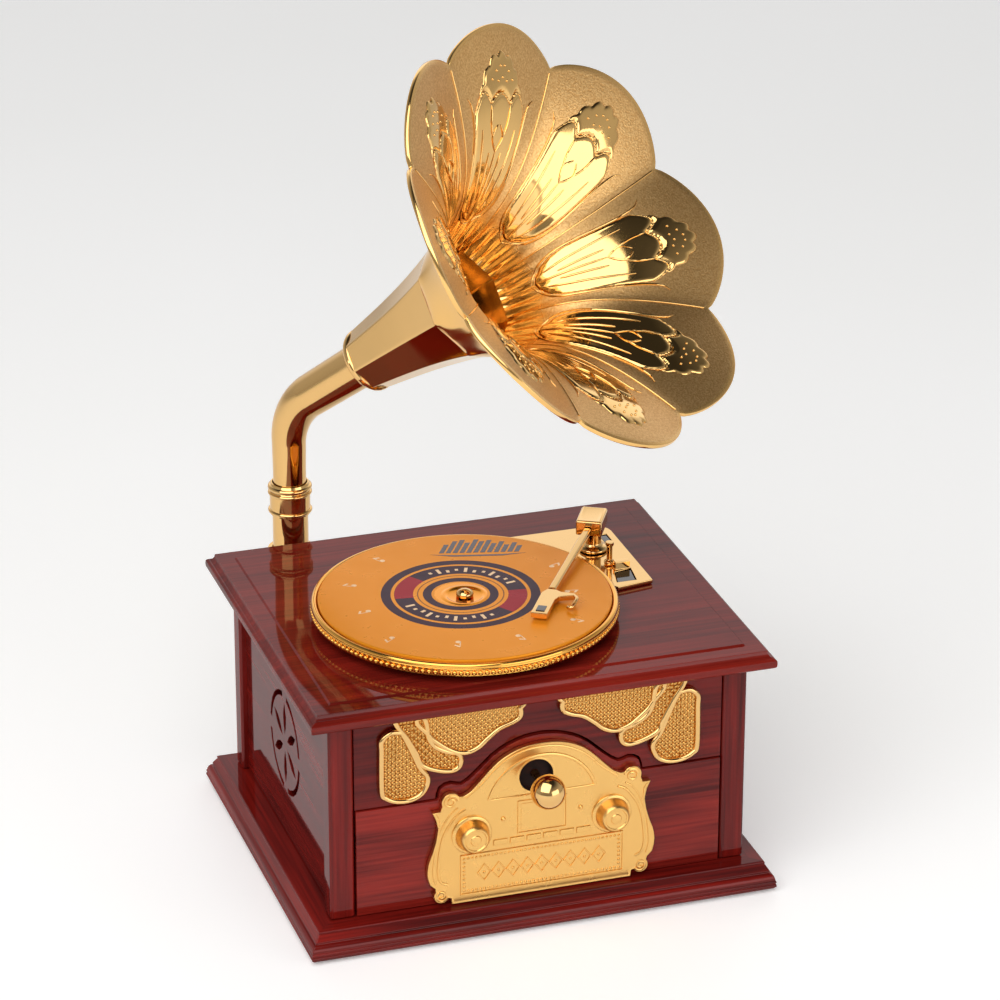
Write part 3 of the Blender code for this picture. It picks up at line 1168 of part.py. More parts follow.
def make_tube(polished, steel):
    outer = TUBE_RADIUS + GAP + ELBOW_WALL
    wall_face = BACK - REAR_RECESS + GAP
    half, end = FLANGE_HALF_LENGTH, FLANGE_END_RADIUS
    stadium = arc(half, 0, end, -90, 90, 8) + arc(-half, 0, end, 90, 270, 8)
    holes = [circle(SMALL_SHANK_RADIUS + GAP, x - TUBE_X, 0, 12) for x in flange_screw_places()]
    flange = piece("tube_flange", turn(plate(stadium, FLANGE_THICK, holes), TO_BACK), polished,
                   (TUBE_X, wall_face, ELBOW_Z))
    rings = []
    across = Vector((1, 0, 0))
    for y in (wall_face + FLANGE_THICK - 0.8, TUBE_Y - ELBOW_BEND - 0.1):
        rings.append(tube_ring(Vector((0, y, ELBOW_Z)), across, Vector((0, 0, 1)), outer))
    for i in range(7):
        angle = math.radians(90 * i / 6)
        centre = Vector((0, TUBE_Y - ELBOW_BEND + ELBOW_BEND * math.sin(angle),
                         ELBOW_Z + ELBOW_BEND - ELBOW_BEND * math.cos(angle)))
        rings.append(tube_ring(centre, across, Vector((0, -math.sin(angle), math.cos(angle))), outer))
    rings.append(tube_ring(Vector((0, TUBE_Y, SOCKET_TOP)), across, Vector((0, -1, 0)), outer))
    combine(flange, "UNION", loft(rings), (TUBE_X, 0, 0))
    bore = TUBE_RADIUS + GAP
    socket = turned([(0, -SOCKET_DEPTH), (bore, -SOCKET_DEPTH), (bore, 1), (0, 1)], 24)
    combine(flange, "DIFFERENCE", socket, (TUBE_X, TUBE_Y, SOCKET_TOP))
    screw_y = wall_face + FLANGE_THICK + GAP
    for i, x in enumerate(flange_screw_places()):
        bm = screw(SMALL_HEAD_RADIUS, SMALL_HEAD_HEIGHT, SMALL_SHANK_RADIUS, FLANGE_THICK + 4.0, 12)
        bolt = piece(f"flange_screw_{i + 1}", turn(bm, TO_FRONT), steel, (x, screw_y, ELBOW_Z))
        slotted(bolt, SMALL_HEAD_RADIUS, SMALL_HEAD_HEIGHT, (x, screw_y, ELBOW_Z), TO_FRONT)

    low = SOCKET_TOP - SOCKET_DEPTH + GAP
    joint = SLAB_TOP + COLLAR_LIFT + COLLAR_HEIGHT / 2
    inner = TUBE_RADIUS - TUBE_WALL
    pipe = turned([(inner, low), (TUBE_RADIUS, low), (TUBE_RADIUS, joint - GAP), (inner, joint - GAP)], 24)
    piece("lower_tube", pipe, polished, (TUBE_X, TUBE_Y, 0))

    r = COLLAR_RADIUS
    upper_bore = HORN_TUBE_RADIUS + GAP
    h = COLLAR_HEIGHT
    profile = [(bore, 0), (r - 0.5, 0), (r, 1.0), (r - 0.5, 2.0), (r - 0.5, h - 4.2), (r, h - 3.2),
               (r - 0.5, h - 2.2), (r, h - 1.2), (r - 0.6, h), (upper_bore, h), (upper_bore, h / 2),
               (bore, h / 2)]
    piece("tube_collar", turned(profile, 24), polished, (TUBE_X, TUBE_Y, SLAB_TOP + COLLAR_LIFT))


def horn_turn():
    """Rotation that carries local Z onto the horn's axis and local X to the horizontal beside it."""
    return (0, math.radians(90 - HORN_ELEVATION), math.radians(HORN_AZIMUTH))


def horn_angle(degrees):
    """Angle round the horn's axis, counted from its downward side, with a seam at SEAM_TURN."""
    return math.radians(degrees + SEAM_TURN)


def bell_point(azimuth, share):
    """Point on the bell's inner face: azimuth in degrees from a seam, share from throat to rim."""
    wave = abs(math.sin(math.radians(azimuth * PETALS / 2)))
    edge = 180 / PETALS
    from_seam = (azimuth + edge) % (2 * edge) - edge
    across = math.cos(math.radians(edge)) / math.cos(math.radians(edge - abs(from_seam)))
    throat = BELL_THROAT_RADIUS * across
    rim = BELL_NOTCH_RADIUS + PETAL_RADIUS * wave**0.71
    start = NECK_END + GAP
    reach = BELL_NOTCH_REACH + PETAL_REACH * wave
    linear = 0.25 + 0.10 * wave
    radius = throat + (rim - throat) * (linear * share + (1 - linear) * share**3)
    angle = horn_angle(azimuth)
    return Vector((radius * math.cos(angle), radius * math.sin(angle), start + reach * share))


def bell_wall_point(azimuth, share):
    """Point on the bell's outer face, one wall thickness behind the inner one."""
    step = 0.01
    here = bell_point(azimuth, share)
    along = bell_point(azimuth, share + step) - bell_point(azimuth, share - step)
    tangent = Vector((along.xy.length * math.copysign(1, along.xy.dot(here.xy)), 0, along.z)).normalized()
    outward = Vector((here.x, here.y, 0)).normalized()
    moved = here + BELL_WALL * (outward * tangent.z - Vector((0, 0, 1)) * tangent.x)
    moved.z = max(moved.z, NECK_END + GAP)
    return moved


def make_horn(polished, satin):
    axis = empty("horn_axis", (TUBE_X, TUBE_Y, SLAB_TOP))
    elevation = math.radians(HORN_ELEVATION)
    azimuth = math.radians(HORN_AZIMUTH)
    level = Vector((math.cos(azimuth), math.sin(azimuth), 0))
    across = Vector((-math.sin(azimuth), math.cos(azimuth), 0))
    bend = math.radians(90) - elevation
    tangent = BEND_RADIUS * math.tan(bend / 2)
    start = SLAB_TOP + COLLAR_LIFT + COLLAR_HEIGHT / 2
    bend_start = BEND_Z - tangent
    neck_length = NECK_START - tangent
    socket = NECK_SOCKET_DEPTH
    stations = [(Vector((0, 0, start)), 0.0), (Vector((0, 0, start + COLLAR_HEIGHT / 2)), 0.0)]
    for i in range(8):
        angle = bend * i / 7
        centre = Vector((0, 0, bend_start + BEND_RADIUS * math.sin(angle)))
        stations.append((centre + level * BEND_RADIUS * (1 - math.cos(angle)), angle))
    direction = level * math.sin(bend) + Vector((0, 0, math.cos(bend)))
    corner = Vector((0, 0, BEND_Z))
    stations.append((corner + direction * (tangent + neck_length / 2), bend))
    stations.append((corner + direction * (NECK_START + socket - GAP), bend))
    total = sum((b[0] - a[0]).length for a, b in zip(stations, stations[1:]))
    outer, inner = [], []
    run = 0.0
    for i, (centre, angle) in enumerate(stations):
        if i:
            run += (centre - stations[i - 1][0]).length
        grow = max(0.0, run - COLLAR_HEIGHT / 2) / (total - COLLAR_HEIGHT / 2)
        radius = HORN_TUBE_RADIUS + (HORN_TUBE_END_RADIUS - HORN_TUBE_RADIUS) * grow
        up = level * math.cos(angle) - Vector((0, 0, math.sin(angle)))
        outer.append(tube_ring(centre, across, up, radius))
        inner.append(tube_ring(centre, across, up, radius - TUBE_WALL))
    piece("horn_tube", loft(outer + inner[::-1], closed=True), polished, (TUBE_X, TUBE_Y, 0), axis)

    sides = 3 * PETALS

    def round_ring(radius, s):
        return [(*polar(0, 0, radius, 360 * i / sides + SEAM_TURN), s) for i in range(sides)]

    def faceted_ring(radius, s):
        ring = []
        for i in range(sides):
            from_corner = (i % 3) * 360 / sides
            edge = 180 / PETALS
            r = radius * math.cos(math.radians(edge)) / math.cos(math.radians(edge - from_corner))
            ring.append((*polar(0, 0, r, 360 * i / sides + SEAM_TURN), s))
        return ring

    def neck_radius(s):
        half_ring = NECK_RING_WIDTH / 2
        share = (s - NECK_START - half_ring) / (NECK_END - NECK_START - half_ring)
        growth = BELL_THROAT_RADIUS + BELL_WALL - 1.4 - NECK_RADIUS
        return NECK_RADIUS + growth * (0.7 * share + 0.3 * share**3)

    s0 = NECK_START
    ring_r = NECK_RING_RADIUS
    bead = ((1.2, 0.0), (0.3, 0.2), (0.0, 0.5), (0.3, 0.8), (0.9, 1.0))
    rings = [round_ring(ring_r - inset, s0 + share * NECK_RING_WIDTH) for inset, share in bead]
    facets = s0 + NECK_RING_WIDTH + 0.6
    stops = [facets + (NECK_END - facets) * i / 8 for i in range(9)]
    rings += [faceted_ring(neck_radius(s), s) for s in stops]
    rings += [faceted_ring(neck_radius(s) - NECK_WALL, s) for s in reversed(stops[2:])]
    bore = HORN_TUBE_END_RADIUS + GAP
    rings += [round_ring(bore - TUBE_WALL, s0 + socket + 0.4), round_ring(bore, s0 + socket),
              round_ring(bore, s0)]
    at = (TUBE_X, TUBE_Y, BEND_Z)
    piece("horn_neck", loft(rings, closed=True), polished, at, axis, horn_turn(), smooth=25)

    columns = 6 * PETALS
    shares = [(i / 9) ** 0.9 for i in range(10)]
    inside = [[bell_point(360 * c / columns, s) for c in range(columns)] for s in shares]
    outside = [[bell_wall_point(360 * c / columns, s) for c in range(columns)] for s in shares]
    piece("horn_bell", loft(inside + outside[::-1], closed=True), satin, at, axis, horn_turn(), smooth=50)


def build():
    clear_scene()
    wood = material("rosewood_lacquer", (0.19, 0.015, 0.012), 0.25)
    felt = material("black_felt", (0.02, 0.02, 0.02), 0.95)
    velvet = material("red_velvet", (0.25, 0.01, 0.02), 0.9)
    polished = material("polished_gold_plate", (0.95, 0.58, 0.20), 0.12, 1.0)
    satin = material("satin_gold_plate", (0.88, 0.58, 0.26), 0.35, 1.0)
    record_gold = material("record_gold_lacquer", (0.85, 0.36, 0.06), 0.3, 0.6)
    glass = material("dark_window_glass", (0.03, 0.015, 0.01), 0.1)
    brass = material("movement_brass", (0.75, 0.55, 0.25), 0.3, 1.0)
    steel = material("movement_steel", (0.6, 0.6, 0.62), 0.3, 1.0)
    make_case(wood, felt)
    make_drawer(wood, velvet, satin, polished)
    make_grilles(polished)
    make_platter(polished, record_gold, steel, brass)
    make_deck(polished, glass)
    make_tonearm(polished, steel)
    make_bedplate(brass)
    make_drive(brass, steel)
    make_cylinder(brass, steel)
    make_governor(brass, steel)
    make_tube(polished, steel)
    make_horn(polished, satin)


build()
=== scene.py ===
"""Looks of a wind-up music box in the form of a horn gramophone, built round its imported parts.

Lengths are in millimetres unless a name says otherwise, and become metres as each piece is made.
"""

import json
from math import atan2, cos, degrees, floor, hypot, pi, radians, sin, tan, tau

import bmesh
import bpy
from mathutils import Matrix, Vector

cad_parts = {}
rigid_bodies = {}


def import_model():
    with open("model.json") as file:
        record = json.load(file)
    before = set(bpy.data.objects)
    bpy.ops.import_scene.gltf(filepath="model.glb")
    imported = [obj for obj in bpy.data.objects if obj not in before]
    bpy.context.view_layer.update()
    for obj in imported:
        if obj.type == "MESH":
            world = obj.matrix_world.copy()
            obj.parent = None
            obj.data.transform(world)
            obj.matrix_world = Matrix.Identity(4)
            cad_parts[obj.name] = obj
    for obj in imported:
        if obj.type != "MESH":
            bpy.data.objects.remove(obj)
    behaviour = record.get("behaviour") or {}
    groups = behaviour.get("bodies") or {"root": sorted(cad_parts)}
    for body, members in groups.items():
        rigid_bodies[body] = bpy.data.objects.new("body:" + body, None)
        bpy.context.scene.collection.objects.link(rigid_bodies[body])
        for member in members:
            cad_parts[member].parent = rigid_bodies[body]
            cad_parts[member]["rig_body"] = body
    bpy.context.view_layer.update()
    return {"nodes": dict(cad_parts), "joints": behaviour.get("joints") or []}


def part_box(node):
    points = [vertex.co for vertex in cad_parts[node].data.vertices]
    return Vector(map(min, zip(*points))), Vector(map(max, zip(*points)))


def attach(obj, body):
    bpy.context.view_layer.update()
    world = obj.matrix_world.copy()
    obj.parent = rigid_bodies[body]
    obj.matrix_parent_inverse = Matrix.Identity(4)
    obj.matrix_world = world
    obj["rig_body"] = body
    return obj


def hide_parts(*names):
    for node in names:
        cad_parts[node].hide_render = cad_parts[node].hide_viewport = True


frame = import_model()
MM = 0.001


# Camera, table and light
# The box stands on a plain white table, seen from its front left and a little above through a long lens.
# Soft boxes hang over the camera, low at the right and, faintly, behind; the ceiling is left dark.
PHOTO_SIDE = 1000
PHOTO_FOCAL = 4243.66  # in pixels of the photograph
SENSOR_WIDTH = 36.0
CAMERA_PLACE = Vector((-358.21, -1109.12, 632.37))
CAMERA_YAW = 18.130
CAMERA_PITCH = 23.979
CAMERA_ROLL = 0.106
LIGHT_TARGET = Vector((0, 0, 110))
SOFT_BOXES = {  # place, width, height and watts
    "main_soft_box": (Vector((-560, -650, 1090)), 1500, 1500, 18.6),
    "low_front_soft_box": (Vector((640, -1080, 330)), 1100, 560, 4.0),
    "back_soft_box": (Vector((560, 1540, 900)), 1900, 1000, 2.5),
}
WALL_SHADES = [  # by height, from level to straight up
    (0.0, "#B4B4B4"), (0.30, "#C4C4C4"), (0.42, "#B8B8B8"), (0.60, "#9A9A9A"), (0.75, "#686868"),
    (0.85, "#343434"),
]
BACK_WALL = Vector((0.31, 0.95, 0.0))
TABLE_WIDTH = 9000
TABLE_PATCH = 333
TABLE_GLOW = 0.22  # lifts the table towards white where it is seen or mirrored, without lighting the box


def hex_colour(code):
    """Linear colour from an sRGB hex value."""
    shares = [int(code[i:i + 2], 16) / 255 for i in (1, 3, 5)]
    return (*[s / 12.92 if s <= 0.04045 else ((s + 0.055) / 1.055) ** 2.4 for s in shares], 1.0)


def feed(sockets, values):
    """Sets sockets to values or links them: a node gives its first output in use."""
    for name, value in values.items():
        if isinstance(value, bpy.types.Node):
            value = next(output for output in value.outputs if output.enabled)
        if isinstance(value, bpy.types.NodeSocket):
            value.id_data.links.new(value, sockets[name])
        else:
            sockets[name].default_value = value


def node(tree, kind, inputs=None, stops=None, **settings):
    """Adds a shader node: settings are its properties, inputs feed its sockets, stops colour its ramp."""
    made = tree.nodes.new("ShaderNode" + kind)
    for name, value in settings.items():
        setattr(made, name, value)
    feed(made.inputs, inputs or {})
    if stops:
        elements = made.color_ramp.elements
        while len(elements) < len(stops):
            elements.new(1.0)
        for element, (position, code) in zip(elements, stops):
            element.position = position
            element.color = hex_colour(code)
    return made


def finish(name, values):
    """Material whose shader holds these values.

    Its node tree, its shader's sockets and the place on the object come with it, for what varies.
    """
    made = bpy.data.materials.new(name)
    made.use_nodes = True
    tree = made.node_tree
    shader = tree.nodes["Principled BSDF"].inputs
    feed(shader, values)
    return made, tree, shader, node(tree, "TexCoord").outputs["Object"]


def turn(angle, axis):
    return Matrix.Rotation(radians(angle), 4, axis)


def linked(name, data):
    obj = bpy.data.objects.new(name, data)
    bpy.context.scene.collection.objects.link(obj)
    return obj


def as_object(name, bm, material):
    """Object from a mesh drawn in millimetres where it stands."""
    bmesh.ops.scale(bm, vec=(MM, MM, MM), verts=bm.verts)
    mesh = bpy.data.meshes.new(name)
    bm.to_mesh(mesh)
    bm.free()
    mesh.materials.append(material)
    return linked(name, mesh)


camera_data = bpy.data.cameras.new("photo_camera")
camera_data.sensor_width = SENSOR_WIDTH
camera_data.lens = PHOTO_FOCAL * SENSOR_WIDTH / PHOTO_SIDE
camera = linked("photo_camera", camera_data)
camera.matrix_world = (
    Matrix.Translation(CAMERA_PLACE * MM)
    @ turn(-CAMERA_YAW, "Z") @ turn(90 - CAMERA_PITCH, "X") @ turn(CAMERA_ROLL, "Z")
)
bpy.context.scene.camera = camera
bpy.context.scene.view_settings.view_transform = "Standard"

for name, (place, width, tall, watts) in SOFT_BOXES.items():
    lamp = bpy.data.lights.new(name, "AREA")
    lamp.shape = "RECTANGLE"
    lamp.size = width * MM
    lamp.size_y = tall * MM
    lamp.energy = watts
    soft_box = linked(name, lamp)
    soft_box.location = place * MM
    soft_box.rotation_euler = (LIGHT_TARGET - place).to_track_quat("-Z", "Y").to_euler()

world = bpy.data.worlds.new("studio")
bpy.context.scene.world = world
world.use_nodes = True
room = world.node_tree
towards = node(room, "TexCoord").outputs["Generated"]
height = node(room, "SeparateXYZ", {0: towards}).outputs["Z"]
walls = node(room, "ValToRGB", {0: height}, WALL_SHADES)
backwards = node(room, "VectorMath", {0: towards, 1: BACK_WALL}, operation="DOT_PRODUCT")
paler = node(room, "MapRange", {0: backwards, 1: 0.55, 2: 0.85, 3: 1.0, 4: 1.7})
darker = node(room, "MapRange", {0: backwards, 1: -0.9, 2: -0.4, 3: 0.6, 4: 1.0})
shade = node(room, "Math", {0: paler, 1: darker}, operation="MULTIPLY")
lit = node(room, "Mix", {0: 1.0, 6: walls, 7: shade}, data_type="RGBA", blend_type="MULTIPLY")
feed(room.nodes["Background"].inputs, {"Color": lit})

# Matt paint: white with patches too faint to see, and no gloss.
table_paint, tree, shader, place = finish(
    "matt_white_table", {"Roughness": 0.6, "Emission Color": (1, 1, 1, 1)}
)
patches = node(tree, "TexNoise", {"Vector": place, "Scale": 1 / (TABLE_PATCH * MM)})
rays = node(tree, "LightPath").outputs
seen = node(tree, "Math", {0: rays["Is Camera Ray"], 1: rays["Is Glossy Ray"]}, operation="MAXIMUM")
seen = node(tree, "Math", {0: seen, 1: rays["Is Transmission Ray"]}, operation="MAXIMUM")
feed(shader, {
    "Base Color": node(tree, "ValToRGB", {0: patches}, [(0.3, "#F6F5F3"), (0.7, "#F9F8F7")]),
    "Emission Strength": node(tree, "Math", {0: seen, 1: TABLE_GLOW}, operation="MULTIPLY"),
})
bm = bmesh.new()
bmesh.ops.create_grid(bm, x_segments=1, y_segments=1, size=TABLE_WIDTH / 2)
as_object("table", bm, table_paint)


# Wooden case
# A base moulding, four corner posts, thin panels and a moulded top slab, cut from a dense red timber,
# stained, and finished in clear high-gloss lacquer that softens every edge a little.
LACQUER_EDGE = 0.35
POST_EDGE = 0.5
PANEL_EDGE = 0.25
SLAB_EDGE = 0.2
FIBRE_WIDTH = 1.1
FIBRE_LENGTH = 38.0
FIGURE_WIDTH = 7.0
FIGURE_LENGTH = 110.0
BODY_HALF_WIDTH = 65.0
BODY_HALF_DEPTH = 54.0
FINE_MESH = 20000  # faces; from there on a mesh shades well by itself


def corners(part_name):
    """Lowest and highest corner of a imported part, in millimetres."""
    low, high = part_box(part_name)
    return low / MM, high / MM


def led_normals(bm, smooth):
    """Shading normals led by the larger faces, so that a flat board mirrors flat up to its edges."""
    bm.normal_update()
    limit = cos(radians(smooth))
    normals = []
    for face in bm.faces:
        for vert in face.verts:
            near = [f.normal * f.calc_area() for f in vert.link_faces if f.normal.dot(face.normal) > limit]
            led = sum(near, Vector())
            normals.append(led.normalized() if led.length > 0 else face.normal)
    return normals


def shown(name, bm, material, body, smooth=35, stands_for=None):
    """Piece riding on a body, its edges under smooth degrees shaded round; it may stand for a part."""
    normals = led_normals(bm, smooth) if len(bm.faces) < FINE_MESH else None
    piece = as_object(name, bm, material)
    piece.data.shade_smooth()
    piece.data.set_sharp_from_angle(angle=radians(smooth))
    if normals:
        piece.data.normals_split_custom_set(normals)
    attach(piece, body)
    if stands_for:
        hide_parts(stands_for)


def sharp_edges(bm, smooth):
    """Edges where the faces turn by more than smooth degrees."""
    return [edge for edge in bm.edges if edge.calc_face_angle(0) > radians(smooth)]


def rounded(bm, edges, radius, segments=2, clamp=False):
    bmesh.ops.bevel(bm, geom=edges, offset=radius, affect="EDGES", segments=segments, profile=0.5,
                    material=-1, clamp_overlap=clamp)


def sunk(bm, faces, border, depth):
    """Sinks faces inside a border."""
    bmesh.ops.inset_region(bm, faces=faces, thickness=border, depth=-depth, use_boundary=True,
                           use_even_offset=True)


def eased(part_name, name, material, radius, smooth=35, panel=None):
    """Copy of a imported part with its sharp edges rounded; it stands for the part.

    A panel is the width of a border round its level top and how far the top sinks inside it.
    """
    part = frame["nodes"][part_name]
    bm = bmesh.new()
    bm.from_mesh(part.data)
    bmesh.ops.scale(bm, vec=(1 / MM, 1 / MM, 1 / MM), verts=bm.verts)
    bmesh.ops.remove_doubles(bm, verts=bm.verts, dist=0.002)
    bmesh.ops.dissolve_limit(bm, angle_limit=radians(2), verts=bm.verts, edges=bm.edges)
    if panel:
        bm.normal_update()
        level_faces = [f for f in bm.faces if f.normal.z > 0.999]
        highest = max(f.calc_center_median().z for f in level_faces)
        sunk(bm, [f for f in level_faces if f.calc_center_median().z > highest - 0.01], *panel)
    rounded(bm, sharp_edges(bm, smooth), radius, clamp=True)
    shown(name, bm, material, part["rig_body"], smooth, part_name)


def streaks(tree, place, size, detail):
    """Pattern of streaks, with their size in millimetres along each axis."""
    scale = [1 / (length * MM) for length in size]
    stretched = node(tree, "Mapping", {"Vector": place, "Scale": scale})
    return node(tree, "TexNoise", {"Vector": stretched, "Scale": 1.0, "Detail": detail})


def rosewood(name, grain, dark, light, mitred=False):
    """Stained rosewood under clear gloss lacquer: dull fibres below, a mirror coat above.

    The grain runs along axis 0, 1 or 2; a mitred frame has it along each of its four sides.
    """
    made, tree, shader, place = finish(
        name,
        {"Roughness": 0.5, "Specular IOR Level": 0.0, "Coat Weight": 0.5, "Coat Roughness": 0.035},
    )
    if mitred:
        at = node(tree, "SeparateXYZ", {0: place}).outputs
        beyond = []
        for side, half in (("X", BODY_HALF_WIDTH), ("Y", BODY_HALF_DEPTH)):
            size = node(tree, "Math", {0: at[side]}, operation="ABSOLUTE")
            beyond.append(node(tree, "Math", {0: size, 1: half * MM}, operation="SUBTRACT"))
        on_side = node(tree, "Math", {0: beyond[0], 1: beyond[1]}, operation="GREATER_THAN")
        crossed = node(tree, "CombineXYZ", {0: at["Y"], 1: at["X"], 2: at["Z"]})
        place = node(tree, "Mix", {0: on_side, 4: place, 5: crossed}, data_type="VECTOR")
    layers = []
    for width, length, detail in ((FIGURE_WIDTH, FIGURE_LENGTH, 3.0), (FIBRE_WIDTH, FIBRE_LENGTH, 5.0)):
        size = [width] * 3
        size[grain] = length
        layers.append(streaks(tree, place, size, detail))
    mixed = node(tree, "Mix", {0: 0.42, 2: layers[0], 3: layers[1]}, data_type="FLOAT")
    feed(shader, {
        "Base Color": node(tree, "ValToRGB", {0: mixed}, [(0.36, dark), (0.62, light)]),
        "Normal": node(tree, "Bump", {"Strength": 0.05, "Distance": 0.1 * MM, "Height": layers[1]}),
    })
    return made


case_wood = rosewood("lacquered_rosewood_upright", 2, "#420B09", "#7E1A14")
panel_wood = rosewood("lacquered_rosewood_panel", 1, "#420B09", "#761813")
board_wood = rosewood("lacquered_rosewood_board", 0, "#470C0A", "#761812")
slab_wood = rosewood("lacquered_rosewood_slab", 0, "#52110D", "#7E1F16")
frame_wood = rosewood("lacquered_rosewood_mitred", 0, "#440B09", "#821B14", mitred=True)
for end in ("front", "rear"):
    for hand in ("left", "right"):
        eased(f"{end}_{hand}_post", f"{end}_{hand}_corner", case_wood, POST_EDGE)
eased("left_panel", "left_side_board", panel_wood, PANEL_EDGE)
eased("right_panel", "right_side_board", panel_wood, PANEL_EDGE)
eased("rear_panel", "rear_board", board_wood, LACQUER_EDGE)
eased("upper_front_panel", "upper_front_board", board_wood, LACQUER_EDGE)
eased("base_moulding", "base_frame", frame_wood, PANEL_EDGE)
eased("top_slab", "top_board", slab_wood, SLAB_EDGE)


# Inner boards and drawer
# Thin stained boards, sawn and sanded but not polished, pinned into a box behind a lacquered front. The
# front rises into an arch where the gilt plate sits.
BOARD_FIBRE = (33.3, 1.43, 1.43)  # along each axis

# Sanded wood: dull red-brown, with fibres that stand up a little.
inner_board, tree, shader, place = finish("stained_sanded_board", {"Roughness": 0.62})
fibres = streaks(tree, place, BOARD_FIBRE, 5.0)
feed(shader, {
    "Base Color": node(tree, "ValToRGB", {0: fibres}, [(0.35, "#571B14"), (0.65, "#83301F")]),
    "Normal": node(tree, "Bump", {"Strength": 0.3, "Distance": 0.1 * MM, "Height": fibres}),
})
drawer_wood = rosewood("lacquered_rosewood_drawer", 0, "#480C0A", "#8E241B")
eased("drawer_front", "drawer_face", drawer_wood, LACQUER_EDGE)
for board in ("drawer_bottom", "drawer_left_side", "drawer_right_side", "drawer_back", "shelf_board"):
    eased(board, f"{board}_sanded", inner_board, PANEL_EDGE)


# Felt and velvet
# Black pressed felt is glued under the base, and the drawer is lined with short red velvet on card. Both
# have soft, slightly uneven edges.
PILE_PATCH = 16.7
FELT_FIBRE, VELVET_FIBRE = 0.5, 0.4  # coarser than the real fibres, so that they show
CLOTH_EDGE = 2.0


def cloth(name, dark, light, sheen, fibre):
    """Short-pile cloth: matt fibres with a soft sheen where it turns away."""
    made, tree, shader, place = finish(
        name, {"Roughness": 0.95, "Sheen Weight": sheen, "Sheen Roughness": 0.4}
    )
    pile = node(tree, "TexNoise", {"Vector": place, "Scale": 1 / (fibre * MM), "Detail": 2.0})
    patches = node(tree, "TexNoise", {"Vector": place, "Scale": 1 / (PILE_PATCH * MM), "Detail": 3.0})
    mixed = node(tree, "Mix", {0: 0.5, 2: pile, 3: patches}, data_type="FLOAT")
    feed(shader, {
        "Base Color": node(tree, "ValToRGB", {0: mixed}, [(0.35, dark), (0.65, light)]),
        "Normal": node(tree, "Bump", {"Strength": 0.6, "Distance": 0.2 * MM, "Height": pile}),
    })
    return made


def skin(columns, rows, place):
    """Grid bent into a skin: place gives a point from the shares across and up."""
    bm = bmesh.new()
    bmesh.ops.create_grid(bm, x_segments=columns, y_segments=rows, size=0.5)
    for vert in bm.verts:
        vert.co = place(vert.co.x + 0.5, vert.co.y + 0.5)
    bmesh.ops.remove_doubles(bm, verts=bm.verts, dist=0.0005)
    return bm


def doubled(bm):
    """Lays a second skin on every face, closed at the edges, and returns its vertices."""
    made = bmesh.ops.extrude_face_region(bm, geom=bm.faces[:])["geom"]
    return [item for item in made if isinstance(item, bmesh.types.BMVert)]


def outwards(bm):
    bmesh.ops.recalc_face_normals(bm, faces=bm.faces)
    return bm


def laid_cloth(part_name, name, material, body, crown):
    """Thin cloth with rounded edges, a hair thicker in waves away from them."""
    low, high = corners(part_name)
    size, middle = high - low, (high + low) / 2
    bm = skin(48, 40, lambda across, up: ((across - 0.5) * size.x, (up - 0.5) * size.y, 0))
    upper = set(doubled(bm))
    for vert in bm.verts:
        x, y = vert.co.xy
        edge = min(size.x / 2 - abs(x), size.y / 2 - abs(y), CLOTH_EDGE) / CLOTH_EDGE
        wave = 0.5 + 0.25 * sin(x * 0.21) + 0.25 * cos(y * 0.17)
        top = size.z / 2 - crown * (1 - edge) - crown * 0.5 * wave
        vert.co = Vector((x, y, top if vert in upper else -size.z / 2)) + middle
    shown(name, outwards(bm), material, body, 60, part_name)


felt = cloth("black_pressed_felt", "#101010", "#242424", 0.3, FELT_FIBRE)
velvet = cloth("red_velvet", "#4A0710", "#8C1420", 0.8, VELVET_FIBRE)
laid_cloth("felt_sheet", "base_felt_pad", felt, "case", 0.1)
laid_cloth("drawer_lining", "velvet_lining", velvet, "drawer", 0.25)


# Front plate
# Moulded plastic with a satin gold plating, screwed to the drawer front: a broken-arch outline with
# scrolls, a half-round dial, two knobs, a window, a row of keys and a panel in a beaded frame.
FLOOR = corners("drawer_front")[0].z
SEAM = corners("left_panel")[0].z + 34.5
PLATE_BACK = corners("front_plate")[1].y
PLATE_THICK = 1.5
PLATE_RIM = 0.35
PLATE_RIM_WIDTH = 1.0
PLATE_FACE = PLATE_BACK - PLATE_THICK
PLATING_PATCH = 11.1
PULL_X = -1.9
PULL_Z = SEAM + 4.5
PULL_HOLE = 5.25
KNOB_X = 21.9
KNOB_Z = SEAM - 12.0
PANEL_HALF = 25.4
PANEL_LOW = FLOOR + 2.7
PANEL_HIGH = FLOOR + 15.7
PANEL_BEAD = 0.45
PANEL_BEADS = (38, 8)  # gaps between beads, across and up
BEAD_INSET = 1.1
LOZENGES = 9
LOZENGE_PITCH = 4.5
LOZENGE_HALF = (2.0, 2.7)
KEYS = 6
KEY_PITCH = 5.2
KNOB = [(0, -0.3), (6.2, -0.3), (6.2, 0.4), (5.9, 0.65), (5.3, 0.75), (5.05, 1.3), (4.75, 2.4), (4.5, 3.4),
        (4.2, 4.1), (3.75, 4.5), (3.35, 4.5), (3.15, 4.25), (1.7, 4.25), (1.5, 4.5), (0.8, 4.65), (0, 4.7)]
FACING_FRONT = turn(90, "X")


def polar(radius, azimuth, x=0.0, y=0.0):
    """Point at a radius and an azimuth in degrees about (x, y)."""
    angle = radians(azimuth)
    return x + radius * cos(angle), y + radius * sin(angle)


def arc(x, y, radius, start, end, steps):
    """Points on an arc, angles in degrees, with both ends."""
    return [polar(radius, start + (end - start) * i / steps, x, y) for i in range(steps + 1)]


def scroll(x, y, outer, inner, start, sweep):
    """Points on a spiral from an outer to an inner radius, angles in radians."""
    return [polar(outer + (inner - outer) * i / 24, degrees(start + sweep * i / 24), x, y)
            for i in range(25)]


